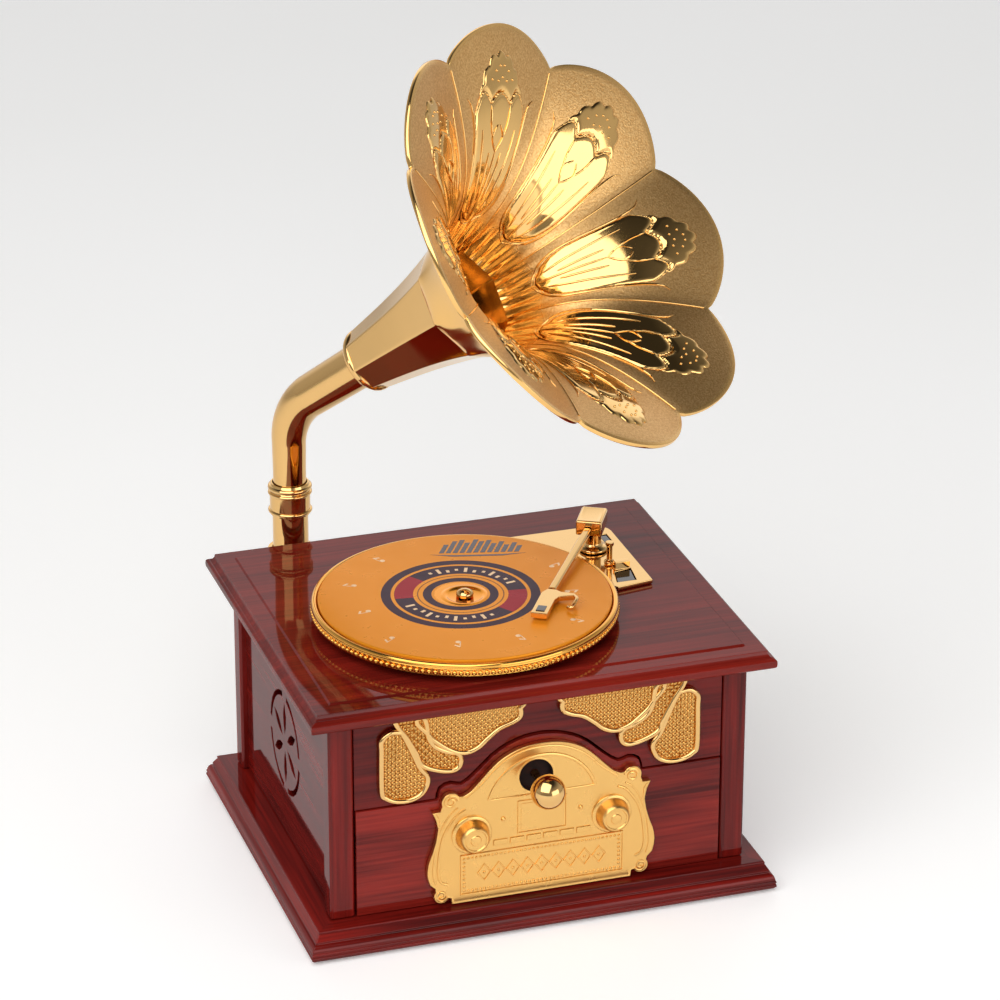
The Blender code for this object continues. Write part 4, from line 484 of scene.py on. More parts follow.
def rectangle(x0, z0, x1, z1):
    return [(x0, z0), (x1, z0), (x1, z1), (x0, z1)]


def flowing(points, steps=4, closed=False):
    """Smooth curve through points of any dimension."""
    ends = [points[-1], *points, *points[:2]] if closed else [points[0], *points, points[-1]]
    path = []
    for near in zip(ends, ends[1:], ends[2:], ends[3:]):
        for i in range(steps):
            t = i / steps
            weights = (-t + 2 * t**2 - t**3, 2 - 5 * t**2 + 3 * t**3, t + 4 * t**2 - 3 * t**3, t**3 - t**2)
            path.append(tuple(sum(w * c for w, c in zip(weights, axis)) / 2 for axis in zip(*near)))
    return path if closed else [*path, tuple(points[-1])]


def joined(shapes):
    """One mesh from several."""
    bm = bmesh.new()
    for shape in shapes:
        mesh = bpy.data.meshes.new("shape")
        shape.to_mesh(mesh)
        shape.free()
        bm.from_mesh(mesh)
        bpy.data.meshes.remove(mesh)
    return bm


def moved(bm, x=0.0, y=0.0, z=0.0, matrix=None):
    if matrix:
        bmesh.ops.transform(bm, matrix=matrix, verts=bm.verts)
    bmesh.ops.translate(bm, verts=bm.verts, vec=(x, y, z))
    return bm


def upright(outline, back, thickness, ease, holes=(), rim=None):
    """Plate standing in an XZ plane, its front edge rounded: an outline of (x, z) points with any holes.

    A rim is a raised border's width and height.
    """
    bm = bmesh.new()
    edges = []
    for loop in (outline, *holes):
        verts = [bm.verts.new((x, back, z)) for x, z in loop]
        edges += [bm.edges.new((verts[i - 1], verts[i])) for i in range(len(verts))]
    bmesh.ops.triangle_fill(bm, use_beauty=True, use_dissolve=False, edges=edges, normal=(0, -1, 0))
    bmesh.ops.translate(bm, verts=doubled(bm), vec=(0, -thickness, 0))
    outwards(bm)
    bmesh.ops.dissolve_limit(bm, angle_limit=radians(1), verts=bm.verts, edges=bm.edges)
    if rim:
        sunk(bm, [f for f in bm.faces if f.calc_center_median().y < back - thickness * 0.99], *rim)
    front = back - thickness * 0.9
    rounded(bm, [e for e in sharp_edges(bm, 60) if all(v.co.y < front for v in e.verts)], ease, 3)
    return bm


def swept(path, radius, closed=False, sides=8, flatten=1.0, towards=(0, -1, 0)):
    """Round bar along a path; radius may be a function of the share along it, and flatten presses it
    down along towards."""
    points = [Vector(p) for p in path]
    count = len(points)
    steps = count if closed else count - 1

    def on_bar(along_bar, round_bar):
        i = round(along_bar * steps) % count
        before = points[(i - 1) % count if closed else max(i - 1, 0)]
        after = points[(i + 1) % count if closed else min(i + 1, count - 1)]
        along = (after - before).normalized()
        side = along.cross(Vector(towards)).normalized()
        up = side.cross(along).normalized()
        r = radius(i / (count - 1)) if callable(radius) else radius
        angle = tau * round_bar
        return points[i] + side * r * cos(angle) + up * r * flatten * sin(angle)

    bm = skin(steps, sides, on_bar)
    if not closed:
        bmesh.ops.holes_fill(bm, edges=[e for e in bm.edges if e.is_boundary], sides=0)
    return outwards(bm)


def turned(profile, steps=64):
    """Solid of revolution about Z from (radius, height) points, closed round a bore or open at the axis."""
    bm = bmesh.new()
    verts = [bm.verts.new((r, 0, z)) for r, z in profile]
    edges = [bm.edges.new(pair) for pair in zip(verts, verts[1:])]
    if profile[0][0] > 0:
        edges.append(bm.edges.new((verts[-1], verts[0])))
    bmesh.ops.spin(bm, geom=verts + edges, axis=(0, 0, 1), cent=(0, 0, 0), angle=tau, steps=steps,
                   use_merge=True)
    bmesh.ops.remove_doubles(bm, verts=bm.verts, dist=0.0005)
    return outwards(bm)


def beads(places, radius, rounds=1):
    """Small round beads at places."""
    bm = bmesh.new()
    for place in places:
        at = Matrix.Translation(place)
        bmesh.ops.create_icosphere(bm, subdivisions=rounds, radius=radius, matrix=at)
    return bm


def gilt(name, colour, rough_low, rough_high, grain, depth):
    """Gold-coloured plating on plastic: roughness and a fine unevenness that follow the moulding."""
    colour = hex_colour(colour)
    made, tree, shader, place = finish(name, {"Metallic": 1.0})
    patches = node(tree, "TexNoise", {"Vector": place, "Scale": 1 / (PLATING_PATCH * MM), "Detail": 4.0})
    duller = [channel * 0.93 for channel in colour]
    fine = node(tree, "TexNoise", {"Vector": place, "Scale": 1 / (grain * MM), "Detail": 2.0})
    feed(shader, {
        "Base Color": node(tree, "Mix", {0: patches, 6: colour, 7: duller}, data_type="RGBA"),
        "Roughness": node(tree, "MapRange", {0: patches, 1: 0.3, 2: 0.7, 3: rough_low, 4: rough_high}),
        "Normal": node(tree, "Bump", {"Strength": 1.0, "Distance": depth * MM, "Height": fine}),
    })
    return made


# Satin plating spreads the light in a soft glow; polished plating mirrors what is round it.
satin_gold = gilt("satin_gold_plating", "#ECBC70", 0.24, 0.34, 0.5, 0.012)
polished_gold = gilt("polished_gold_plating", "#E6BA79", 0.06, 0.12, 4.0, 0.006)


def mirrored(points):
    """The left-hand twin of a right-hand path."""
    return [(-x, z) for x, z in points]


def on_plate(points):
    return [(x, PLATE_FACE, z) for x, z in points]


def framed(outline, radius):
    """Raised line round a closed outline on the plate."""
    return swept(on_plate(outline), radius, closed=True, sides=6)


lower_edge = [(28.2, 0.0), (28.4, 2.0), *arc(31.3, 3.3, 2.4, 205, 400, 14), (33.4, 6.0),
              *flowing([(35.0, 7.6), (35.7, 10.9), (35.3, 14.6), (33.9, 18.6), (32.9, 22.1)])]
upper_edge = [(32.3, -8.6), (33.0, -5.4), (34.1, -3.0), (31.6, -2.9), *arc(28.3, -0.2, 2.9, -20, 150, 14),
              *flowing([(24.6, 1.2), (22.5, 2.2), (19.6, 5.0), (16.2, 8.6), (12.9, 11.4), (8.6, 13.6),
                        (4.2, 14.8), (0.0, 15.1)])]
right_edge = [(x, FLOOR + z) for x, z in lower_edge] + [(x, SEAM + z) for x, z in upper_edge]
plate_edge = right_edge + mirrored(right_edge[:-1])[::-1]
pull_hole = arc(PULL_X, PULL_Z, PULL_HOLE, 0, 360, 40)[:-1]
work = [upright(plate_edge, PLATE_BACK, PLATE_THICK + PLATE_RIM, 0.4, [pull_hole],
                (PLATE_RIM_WIDTH, PLATE_RIM))]

inner_line = flowing([(23.8, 41.2), (26.7, 39.4), (30.2, 34.2), (31.8, 28.3), (32.4, 21.4), (31.5, 17.9),
                      (29.5, 16.7)])
outer_line = flowing([(26.2, 42.0), (29.0, 39.6), (31.6, 34.6), (33.2, 28.6), (33.9, 21.0), (33.0, 17.2)])
dome_line = flowing([(23.6, SEAM + 0.2), (18.6, SEAM + 4.2), (15.3, SEAM + 7.6), (12.1, SEAM + 10.2),
                     (8.1, SEAM + 12.3), (4.0, SEAM + 13.5), (0.0, SEAM + 13.8)])
low_scroll = scroll(31.3, FLOOR + 3.3, 1.9, 0.6, 3.5, 8.5)
ear_scroll = scroll(28.3, SEAM - 0.2, 2.3, 0.6, 3.0, -9.0)
leaf = [(33.6, SEAM - 3.2), (32.3, SEAM - 5.2), (32.0, SEAM - 8.6)]
for line, width in ((inner_line, 0.42), (outer_line, 0.3), (low_scroll, 0.45), (ear_scroll, 0.5),
                    (leaf, 0.4), (dome_line, 0.35)):
    work += [swept(on_plate(path), width, flatten=0.8) for path in (line, mirrored(line))]
dial = arc(0, SEAM - 6.1, 17.2, 15.5, 164.5, 40)
work += [swept(on_plate(dial), 0.55, flatten=0.8), swept(on_plate([dial[0], dial[-1]]), 0.3)]
work.append(framed(rectangle(-7.5, 30.5, 7.5, 41.0), 0.35))
work.append(upright(rectangle(-6.6, 31.4, 6.6, 40.1), PLATE_FACE + 0.2, 0.35, 0.12))
for i in range(KEYS):
    x = KEY_PITCH * (i - (KEYS - 1) / 2)
    work.append(upright(rectangle(x - 2.2, 27.6, x + 2.2, 29.4), PLATE_FACE + 0.2, 0.65, 0.25))
work.append(beads(on_plate([(-12.1, 36.0), (12.1, 36.0)]), 0.75, 2))
work.append(framed(rectangle(-PANEL_HALF, PANEL_LOW, PANEL_HALF, PANEL_HIGH), 0.42))
across, up = PANEL_BEADS
bead_half, bead_low, bead_high = PANEL_HALF - BEAD_INSET, PANEL_LOW + BEAD_INSET, PANEL_HIGH - BEAD_INSET
bead_row = [(bead_half * (2 * i / across - 1), z) for i in range(across + 1) for z in (bead_low, bead_high)]
bead_row += [(x, bead_low + (bead_high - bead_low) * i / up)
             for i in range(1, up) for x in (-bead_half, bead_half)]
work.append(beads(on_plate(bead_row), PANEL_BEAD))
middle = (PANEL_LOW + PANEL_HIGH) / 2
wide, tall = LOZENGE_HALF
for i in range(LOZENGES):
    x = LOZENGE_PITCH * (i - (LOZENGES - 1) / 2)
    corner_points = [(x - wide, middle), (x, middle - tall), (x + wide, middle), (x, middle + tall)]
    work.append(framed(corner_points, 0.36))
    work.append(beads(on_plate([(x, middle)]), PANEL_BEAD, 2))
work += [moved(turned(KNOB, 48), x, PLATE_FACE, KNOB_Z, FACING_FRONT) for x in (-KNOB_X, KNOB_X)]
shown("gilt_front_plate", joined(work), satin_gold, "drawer", stands_for="front_plate")


# Drawer pull
# A turned metal rod with a waist, screwed through the drawer front, and a polished ball on its end. The
# hole round it is lined with a near-black ring, painted shade that stands for the shadow deep in the hole.
PULL_BALL = 5.25
PULL_ROD = 1.2
ROD_WAIST = 0.95
BORE_SPOT = 1.67


def mottled(name, sockets, spot, dark, light):
    """Even colour, broken up by faint spots of a given size."""
    made, tree, shader, place = finish(name, sockets)
    spots = node(tree, "TexNoise", {"Vector": place, "Scale": 1 / (spot * MM)})
    feed(shader, {"Base Color": node(tree, "ValToRGB", {0: spots}, [(0.3, dark), (0.7, light)])})
    return made


ball = turned([(PULL_ROD, 0.15), *arc(0, PULL_BALL, PULL_BALL, -76, 86, 27), (0, 2 * PULL_BALL)])
moved(ball, PULL_X, corners("pull_ball")[0].y + 2 * PULL_BALL, PULL_Z, FACING_FRONT)
shown("polished_pull_ball", ball, polished_gold, "drawer", stands_for="pull_ball")
rod_low, rod_high = corners("pull_rod")
rod_long = rod_high.y - rod_low.y
rod = turned([(0, 0), (PULL_ROD, 0), (PULL_ROD, rod_long * 0.4), (ROD_WAIST, rod_long * 0.45),
              (PULL_ROD, rod_long * 0.5), (PULL_ROD, rod_long), (0, rod_long)], 32)
moved(rod, PULL_X, rod_high.y, PULL_Z, FACING_FRONT)
shown("polished_pull_rod", rod, polished_gold, "drawer", stands_for="pull_rod")

# Painted shade: a nearly black, dull lining that stands for the shadow in the hole, so that the hole reads
# as deep.
painted_bore_shade = mottled("painted_shade_bore", {"Roughness": 0.7, "Specular IOR Level": 0.2},
                    BORE_SPOT, "#120504", "#240B07")
bore = turned([(1.3, 0), (PULL_HOLE - 0.03, 0), (PULL_HOLE - 0.03, PLATE_THICK),
               (PULL_HOLE - 0.25, PLATE_THICK), (PULL_HOLE - 0.25, 0.12), (1.3, 0.12)], 48)
shown("pull_bore", moved(bore, PULL_X, PLATE_BACK + 0.2, PULL_Z, FACING_FRONT), painted_bore_shade, "drawer")


# Side grilles
# Three rimmed lobes a side, moulded in plastic and plated in bright gold: a smooth rounded rim round a
# field woven like basketwork.
UPPER_LOW, UPPER_HIGH = (corner.z for corner in corners("upper_front_panel"))
UPPER_HEIGHT = UPPER_HIGH - UPPER_LOW
BAY_HALF = 57.5
GRILLE_BACK = corners("left_grille")[1].y
RIM = 0.9
WEAVE = 1.15
WEAVE_RELIEF = 0.5
WEAVE_CELL = 0.23
LOBES = (  # shares of the half bay's width and of the panel's height
    [(0.125, 0.965), (0.10, 0.89), (0.10, 0.80), (0.14, 0.745), (0.21, 0.695), (0.275, 0.59), (0.34, 0.495),
     (0.41, 0.46), (0.485, 0.50), (0.56, 0.61), (0.62, 0.74), (0.655, 0.965)],
    [(0.79, 0.965), (0.735, 0.755), (0.685, 0.545), (0.65, 0.395), (0.56, 0.31), (0.475, 0.285),
     (0.43, 0.325), (0.418, 0.42), (0.44, 0.485), (0.485, 0.51), (0.56, 0.62), (0.61, 0.735), (0.64, 0.965)],
    [(0.77, 0.84), (0.815, 0.84), (0.86, 0.765), (0.865, 0.63), (0.865, 0.17), (0.84, 0.085), (0.78, 0.03),
     (0.70, 0.025), (0.635, 0.08), (0.60, 0.185), (0.60, 0.28), (0.635, 0.385), (0.68, 0.59), (0.74, 0.81)],
)


def inside(x, z, outline):
    """Whether a point lies inside a closed outline."""
    crossings = 0
    for (x0, z0), (x1, z1) in zip(outline, outline[1:] + outline[:1]):
        if (z0 > z) != (z1 > z) and x < x0 + (x1 - x0) * (z - z0) / (z1 - z0):
            crossings += 1
    return crossings % 2 == 1


def strand(x, z):
    """Height of a basket weave: square cells where one strand passes over the other by turns."""
    column, row = floor(x / WEAVE), floor(z / WEAVE)
    over = (column + row) % 2
    across = (x / WEAVE - column if over else z / WEAVE - row) - 0.5
    along = (z / WEAVE - row if over else x / WEAVE - column) - 0.5
    return (1 - (2 * across) ** 4) * (1 - 0.7 * (2 * along) ** 2)


def woven(outline):
    """Basketwork field cut to an outline."""
    low_x, high_x = min(x for x, z in outline), max(x for x, z in outline)
    low_z, high_z = min(z for x, z in outline), max(z for x, z in outline)

    def on_field(across, up):
        x, z = low_x + across * (high_x - low_x), low_z + up * (high_z - low_z)
        return x, GRILLE_BACK - 0.55 - WEAVE_RELIEF * strand(x, z), z

    bm = skin(round((high_x - low_x) / WEAVE_CELL), round((high_z - low_z) / WEAVE_CELL), on_field)
    centres = {face: face.calc_center_median() for face in bm.faces}
    outside = [face for face, centre in centres.items() if not inside(centre.x, centre.z, outline)]
    bmesh.ops.delete(bm, geom=outside, context="FACES")
    for vert in doubled(bm):
        vert.co.y = GRILLE_BACK - 0.2
    return outwards(bm)


# Polished plating, coloured browner all over: painted shade that stands for the weave's hollows mirroring
# each other.
woven_gold_painted_shade = gilt("woven_gold_plating", "#CD9A55", 0.10, 0.2, 2.0, 0.02)
for hand, sign in (("left", -1), ("right", 1)):
    rims, fields = [], []
    for shares in LOBES:
        edge = [Vector((sign * u * BAY_HALF, UPPER_LOW + v * UPPER_HEIGHT)) for u, v in shares]
        centre = sum(edge, Vector((0, 0))) / len(edge)
        edge = flowing([point + (centre - point).normalized() * RIM for point in edge], 5, closed=True)
        line = [(x, GRILLE_BACK - 0.8, z) for x, z in edge]
        rims.append(swept(line, RIM, closed=True, sides=12, flatten=1.1))
        fields.append(woven(edge))
    shown(f"{hand}_grille_rims", joined(rims), polished_gold, "case", 60, f"{hand}_grille")
    shown(f"{hand}_grille_weave", joined(fields), woven_gold_painted_shade, "case", 40)


# Base beads
# Three fine beads run along the base moulding, two on its nose and one under its ledge, cut from the same
# timber and mitred at the corners.
BASE_BEADS = ((7.85, 1.15, 0.55), (7.8, 2.35, 0.5), (4.95, 8.1, 0.45))  # outward, height and radius

base_low = corners("base_moulding")[0].z
bead_bars = []
for outward, height, radius in BASE_BEADS:
    wide, deep = BODY_HALF_WIDTH + outward, BODY_HALF_DEPTH + outward
    loop = [(x, y, base_low + height) for x, y in rectangle(-wide, -deep, wide, deep)]
    bead_bars.append(swept(loop, radius, closed=True, sides=10, towards=(0, 0, 1)))
shown("base_beads", joined(bead_bars), frame_wood, "case", 60)


# Platter
# A moulded disc plated in bright gold: a rounded bead runs round its top edge, and a beaded band for the
# fingers, which wind the spring by it, runs below.
PLATTER_LOW = corners("platter")[0].z
PLATTER_RADIUS = 46.8
PLATTER_SEAT = 3.4
TOP_BEAD = 0.95
BAND_BEADS = 152
BAND_BEAD = 0.93


def axis_of(joint_name):
    """Point on a joint's axis, in millimetres."""
    return Vector(next(j for j in frame["joints"] if j["name"] == joint_name)["pos_m"]) / MM


AXIS = axis_of("platter_spin")
seat, rim = PLATTER_SEAT, PLATTER_RADIUS
disc = turned([(2.8, 0), (rim - 2.2, 0), (rim - 1.5, 0.25), (rim - 1.5, 0.5), (rim - 0.9, 0.6),
               (rim - 0.9, 2.4), (rim - 0.55, 2.6), (rim - 0.45, 2.9),
               *arc(rim - 1.5, seat + 0.05, TOP_BEAD, -20, 180, 10), (rim - 3.0, seat), (2.8, seat)], 192)
band = beads([(*polar(rim - BAND_BEAD, 360 * i / BAND_BEADS), 1.5) for i in range(BAND_BEADS)], BAND_BEAD)
# Polished plating of a yellower tone than the rest.
warm_gold = gilt("warm_gold_plating", "#F0B052", 0.08, 0.15, 4.0, 0.006)
shown("gilt_platter", moved(joined([disc, band]), AXIS.x, AXIS.y, PLATTER_LOW), warm_gold, "turntable", 50,
      "platter")


# Record
# A gilt disc with a rounded edge and a boss, its face under an orange-gold lacquer. On it are printed a
# label of dark rings and two red arcs, a row of bars, and pale notes near its edge.
RECORD_LOW = corners("record_disc")[0].z
RECORD_RADIUS = 44.3
RECORD_THICK = 1.3
RECORD_HOLE = 1.8
BOSS_RADIUS = 7.0
BOSS_BRIGHT = 8.0
PRINT = 0.04
LACQUER_PATCH = 6.25
INK_SPOT = 1.11
LABEL_RINGS = [
    (0.0, "#E49122"), (8.7, "#3A2230"), (11.4, "#E49122"), (12.75, "#7A4A26"), (13.0, "#E49122"),
    (14.35, "#3A2230"), (20.0, "#E49122"), (21.1, "#3A2230"), (23.9, "#E28E1F"),
]
LABEL_SHIFT = Vector((-0.9, 1.2))
RED_FROM, RED_TO = 14.35, 20.0
ARC_TURN = 32.0
ARC_SHARE = 0.91
MARK_TURN = -14.5
MARK_PLACE = (1.5, 31.0)
MARK_SLANT = 0.3
BAR_PITCH, BAR_WIDTH = 2.1, 1.5
BAR_HEIGHTS = (6.2, 8.6, 9.4, 7.4, 9.6, 8.2, 9.0, 6.6, 7.8, 5.4, 6.8, 4.6)
UNDERLINE = [(-2.4, -0.9), (5.0, -2.6), (20.0, -2.6), (27.0, -0.9), (20.0, -1.6), (5.0, -1.6)]
TICKS = 11
TICK_PITCH = 9.4
NOTES = 11
NOTE_PITCH = 32.7
NOTE_PLACE = 33.5

# Tinted lacquer over plating: a warm orange that stays soft in the light, but bright on the bare boss.
record_gold, tree, shader, place = finish(
    "gold_lacquered_record",
    {"Specular IOR Level": 0.05, "Coat Weight": 0.06, "Coat Roughness": 0.12},
)
label_x, label_y = AXIS.x + LABEL_SHIFT.x, AXIS.y + LABEL_SHIFT.y
centred = node(tree, "Mapping", {"Vector": place, "Location": (-label_x * MM, -label_y * MM, 0)})
at = node(tree, "SeparateXYZ", {0: centred}).outputs
flat = node(tree, "CombineXYZ", {0: at["X"], 1: at["Y"]})
radius = node(tree, "VectorMath", {0: flat}, operation="LENGTH")
share = node(tree, "Math", {0: radius, 1: RECORD_RADIUS * MM}, operation="DIVIDE")
rings = node(tree, "ValToRGB", {0: share}, [(r / RECORD_RADIUS, code) for r, code in LABEL_RINGS])
rings.color_ramp.interpolation = "CONSTANT"
angle = node(tree, "Math", {0: at["Y"], 1: at["X"]}, operation="ARCTAN2")
from_arc = node(tree, "Math", {0: angle, 1: radians(ARC_TURN)}, operation="ADD")
side = node(tree, "Math", {0: from_arc}, operation="COSINE")
wide = node(tree, "Math", {0: side}, operation="ABSOLUTE")
in_arc = node(tree, "Math", {0: wide, 1: ARC_SHARE}, operation="GREATER_THAN")
past = node(tree, "Math", {0: radius, 1: RED_FROM * MM}, operation="GREATER_THAN")
before = node(tree, "Math", {0: radius, 1: RED_TO * MM}, operation="LESS_THAN")
ring = node(tree, "Math", {0: past, 1: before}, operation="MULTIPLY")
red = node(tree, "Math", {0: ring, 1: in_arc}, operation="MULTIPLY")
patches = node(tree, "TexNoise", {"Vector": centred, "Scale": 1 / (LACQUER_PATCH * MM), "Detail": 4.0})
matt = node(tree, "MapRange", {0: patches, 1: 0.3, 2: 0.7, 3: 0.26, 4: 0.36})
on_boss = node(tree, "Math", {0: radius, 1: BOSS_BRIGHT * MM}, operation="LESS_THAN")
feed(shader, {
    "Base Color": node(tree, "Mix", {0: red, 6: rings, 7: hex_colour("#981C28")}, data_type="RGBA"),
    "Roughness": node(tree, "Mix", {0: on_boss, 2: matt, 3: 0.1}, data_type="FLOAT"),
    "Metallic": node(tree, "MapRange", {0: on_boss, 3: 0.3, 4: 1.0}),
})

rim, top, boss = RECORD_RADIUS, RECORD_THICK, BOSS_RADIUS
disc = turned([(RECORD_HOLE, 0), (rim - 0.4, 0), (rim, 0.35), (rim, top - 0.45), (rim - 0.15, top - 0.15),
               (rim - 0.5, top), (boss + 0.5, top), (boss + 0.2, top + 0.03), (boss - 0.3, top + 0.16),
               (boss - 0.9, top + 0.2), (boss - 1.5, top), (boss - 2.2, top - 0.32),
               (RECORD_HOLE, top - 0.35)], 160)
shown("lacquered_record", moved(disc, AXIS.x, AXIS.y, RECORD_LOW), record_gold, "turntable",
      stands_for="record_disc")

# Printing inks: an even near-black with a little gloss, and a pale one with metal in it.
ink = mottled("dark_print", {"Roughness": 0.35, "Coat Weight": 0.3, "Coat Roughness": 0.15},
              INK_SPOT, "#2E1B26", "#3C2530")
pale_ink = mottled("pale_print", {"Roughness": 0.3, "Metallic": 0.5}, INK_SPOT, "#E2B98A",
                   "#F0CFA4")


def printed(outline, azimuth, shift=(0, 0)):
    """Flat print on the record: an outline turned about the platter's axis, then shifted."""
    bm = bmesh.new()
    bm.faces.new([bm.verts.new((x, y, 0)) for x, y in outline])
    bmesh.ops.translate(bm, verts=doubled(bm), vec=(0, 0, PRINT))
    moved(outwards(bm), matrix=turn(azimuth, "Z"))
    return moved(bm, AXIS.x + shift[0], AXIS.y + shift[1], RECORD_LOW + RECORD_THICK)


shapes = [rectangle(BAR_PITCH * i, 0, BAR_PITCH * i + BAR_WIDTH, tall) for i, tall in enumerate(BAR_HEIGHTS)]
bars = [printed([(x + MARK_SLANT * y, y) for x, y in shape], MARK_TURN, MARK_PLACE)
        for shape in (*shapes, UNDERLINE)]
shown("printed_bars", joined(bars), ink, "turntable")
ticks = []
for start in (90 - ARC_TURN, 270 - ARC_TURN):
    for i in range(TICKS):
        low, high = ((15.7, 18.7), (16.6, 17.8), (15.7, 17.3))[i % 3]
        azimuth = start + TICK_PITCH * (i - (TICKS - 1) / 2)
        ticks.append(printed(rectangle(low, -0.5, high, 0.5), azimuth, LABEL_SHIFT))
shown("printed_ticks", joined(ticks), pale_ink, "turntable")
notes = []
for i in range(NOTES):
    azimuth = 20 + NOTE_PITCH * i
    if 25 < azimuth % 360 < 100:
        continue  # the bars stand there
    radius = NOTE_PLACE + 3.0 * sin(i * 2.3)
    head = arc(0, 0, 0.85, 0, 360, 10)[:-1]
    stem = rectangle(0, 0.55, 3.4, 0.85)
    flag = ((3.4, 0.55), (2.5, -0.9), (1.8, -0.9), (2.6, 0.55))
    notes += [printed([(radius + x, y) for x, y in shape], azimuth) for shape in (head, stem, flag)]
shown("printed_notes", joined(notes), pale_ink, "turntable")

cap = turned([(0, 1.4), (1.8, 1.4), (1.8, 0), (2.6, 0), (2.65, 0.7), (2.4, 1.2), (1.9, 1.6), (1.2, 2.0),
              (0.6, 2.15), (0, 2.2)], 40)
moved(cap, AXIS.x, AXIS.y, corners("spindle_cap")[0].z)
shown("spindle_nut", cap, polished_gold, "turntable", stands_for="spindle_cap")


# Deck plate and arm rest
# A flat plated moulding beside the platter with raised ledges, two dark windows and a post for the arm.
# The windows are smoked acrylic, let in flush.
WINDOW_SPOT = 2.5

# Smoked acrylic: a brown near-black with a clear gloss.
smoked = mottled("smoked_window",
                 {"Roughness": 0.08, "Coat Weight": 0.5, "Coat Roughness": 0.03}, WINDOW_SPOT, "#1C0D08",
                 "#2A150C")
eased("deck_plate", "gilt_deck", polished_gold, 0.3)
eased("front_deck_window", "front_smoked_window", smoked, 0.15)
eased("rear_deck_window", "rear_smoked_window", smoked, 0.15)
eased("arm_rest", "gilt_arm_rest", polished_gold, 0.15)
eased("arm_pedestal", "gilt_arm_pedestal", polished_gold, 0.2)


# Tonearm
# Plated mouldings: a chamfered head block on its pivot, a square arm that slopes down to the record, and a
# headshell with a side wing, a curled finger lift and a dark window near its tip.
PIVOT = axis_of("tonearm_swing")
ARM_AZIMUTH = -124.3
ARM_END = 48.1
SHELL_TURN = 2.9
SHELL_TOP = corners("headshell")[1].z
LIFT_PATH = [(2.0, 7.4, -0.6), (4.2, 8.6, -0.3), (7.0, 8.6, -0.6), (8.8, 7.8, -1.3), (8.0, 6.8, -1.7)]
LIFT_RADIUS = 0.6
WINDOW_SIZE = (3.6, 2.7, 0.4)
WINDOW_PLACE = 14.2

eased("arm_head", "gilt_arm_head", polished_gold, 0.2, panel=(1.3, 0.35))
eased("arm_tube", "gilt_arm_bar", polished_gold, 0.2)
eased("headshell", "gilt_headshell", polished_gold, 0.25)
along_shell = turn(ARM_AZIMUTH + SHELL_TURN, "Z")


def on_shell(x, y, z):
    """Point along and across the headshell from the arm's end, and above its top."""
    foot = Vector((*polar(ARM_END, ARM_AZIMUTH, PIVOT.x, PIVOT.y), SHELL_TOP + z))
    return foot + along_shell @ Vector((x, y, 0))


lift = swept(flowing([on_shell(*p) for p in LIFT_PATH], 5), LIFT_RADIUS, sides=10, towards=(0, 0, 1))
shown("finger_lift", lift, polished_gold, "tonearm", 60)
bm = bmesh.new()
bmesh.ops.create_cube(bm, size=1, matrix=Matrix.Diagonal((*WINDOW_SIZE, 1)))
rounded(bm, bm.edges[:], 0.12)
moved(bm, *on_shell(WINDOW_PLACE, 0, 0.05), along_shell)
shown("headshell_window", bm, smoked, "tonearm")


# Horn tube and collar
# A bent tube of plated plastic, swelling slightly towards the horn, turns in a beaded collar on a straight
# tube, which stands in an elbow on the back of the case.
TUBE = axis_of("horn_swivel")
BEND_Z = corners("top_slab")[1].z + 40.45
BEND_RADIUS = 22.0
HORN_AZIMUTH = -47.66
HORN_ELEVATION = 37.21
TUBE_RADIUS = 5.25
TUBE_END_RADIUS = 7.2
TUBE_STEPS = 48
TUBE_WALL = 0.8
NECK_START = 35.8
NECK_SOCKET = 5.7
LOWER_TUBE = 5.65
COLLAR = 6.4
COLLAR_BORE = 5.95
COLLAR_HEIGHT = 10.4
UPWARDS = Vector((0, 0, 1))

level = Vector((*polar(1.0, HORN_AZIMUTH), 0))
bend = 90 - HORN_ELEVATION
along_horn = level * sin(radians(bend)) + UPWARDS * cos(radians(bend))
bend_point = Vector((TUBE.x, TUBE.y, BEND_Z))
foot = Vector((TUBE.x, TUBE.y, corners("horn_tube")[0].z))
bend_start = bend_point - UPWARDS * BEND_RADIUS * tan(radians(bend / 2))
route = [foot + (bend_start - foot) * i / 6 for i in range(6)]
for out, rise in arc(BEND_RADIUS, 0, BEND_RADIUS, 180, 180 - bend, 24):
    route.append(bend_start + level * out + UPWARDS * rise)
straight_end = bend_point + along_horn * (NECK_START + NECK_SOCKET)
route += [route[-1] + (straight_end - route[-1]) * i / 8 for i in range(1, 9)]


def walled(bm, wall):
    """Gives an open skin its wall, away from the side its faces look to, and closes it at its ends."""
    outwards(bm).normal_update()
    outer = {tuple(round(c, 3) for c in vert.co): vert.normal.copy() for vert in bm.verts}
    for vert in doubled(bm):
        vert.co -= outer[tuple(round(c, 3) for c in vert.co)] * wall
    return outwards(bm)


def on_tube(turn_share, route_share):
    """Point on the tube's outside, which swells from the bend on."""
    last = len(route) - 1
    i = round(route_share * last)
    along = (route[min(i + 1, last)] - route[max(i - 1, 0)]).normalized()
    beside = level.cross(UPWARDS)
    radius = TUBE_RADIUS + (TUBE_END_RADIUS - TUBE_RADIUS) * max(0.0, i / last - 0.08) / 0.92
    across, up = polar(radius, 360 * turn_share)
    return route[i] + beside * across + along.cross(beside) * up


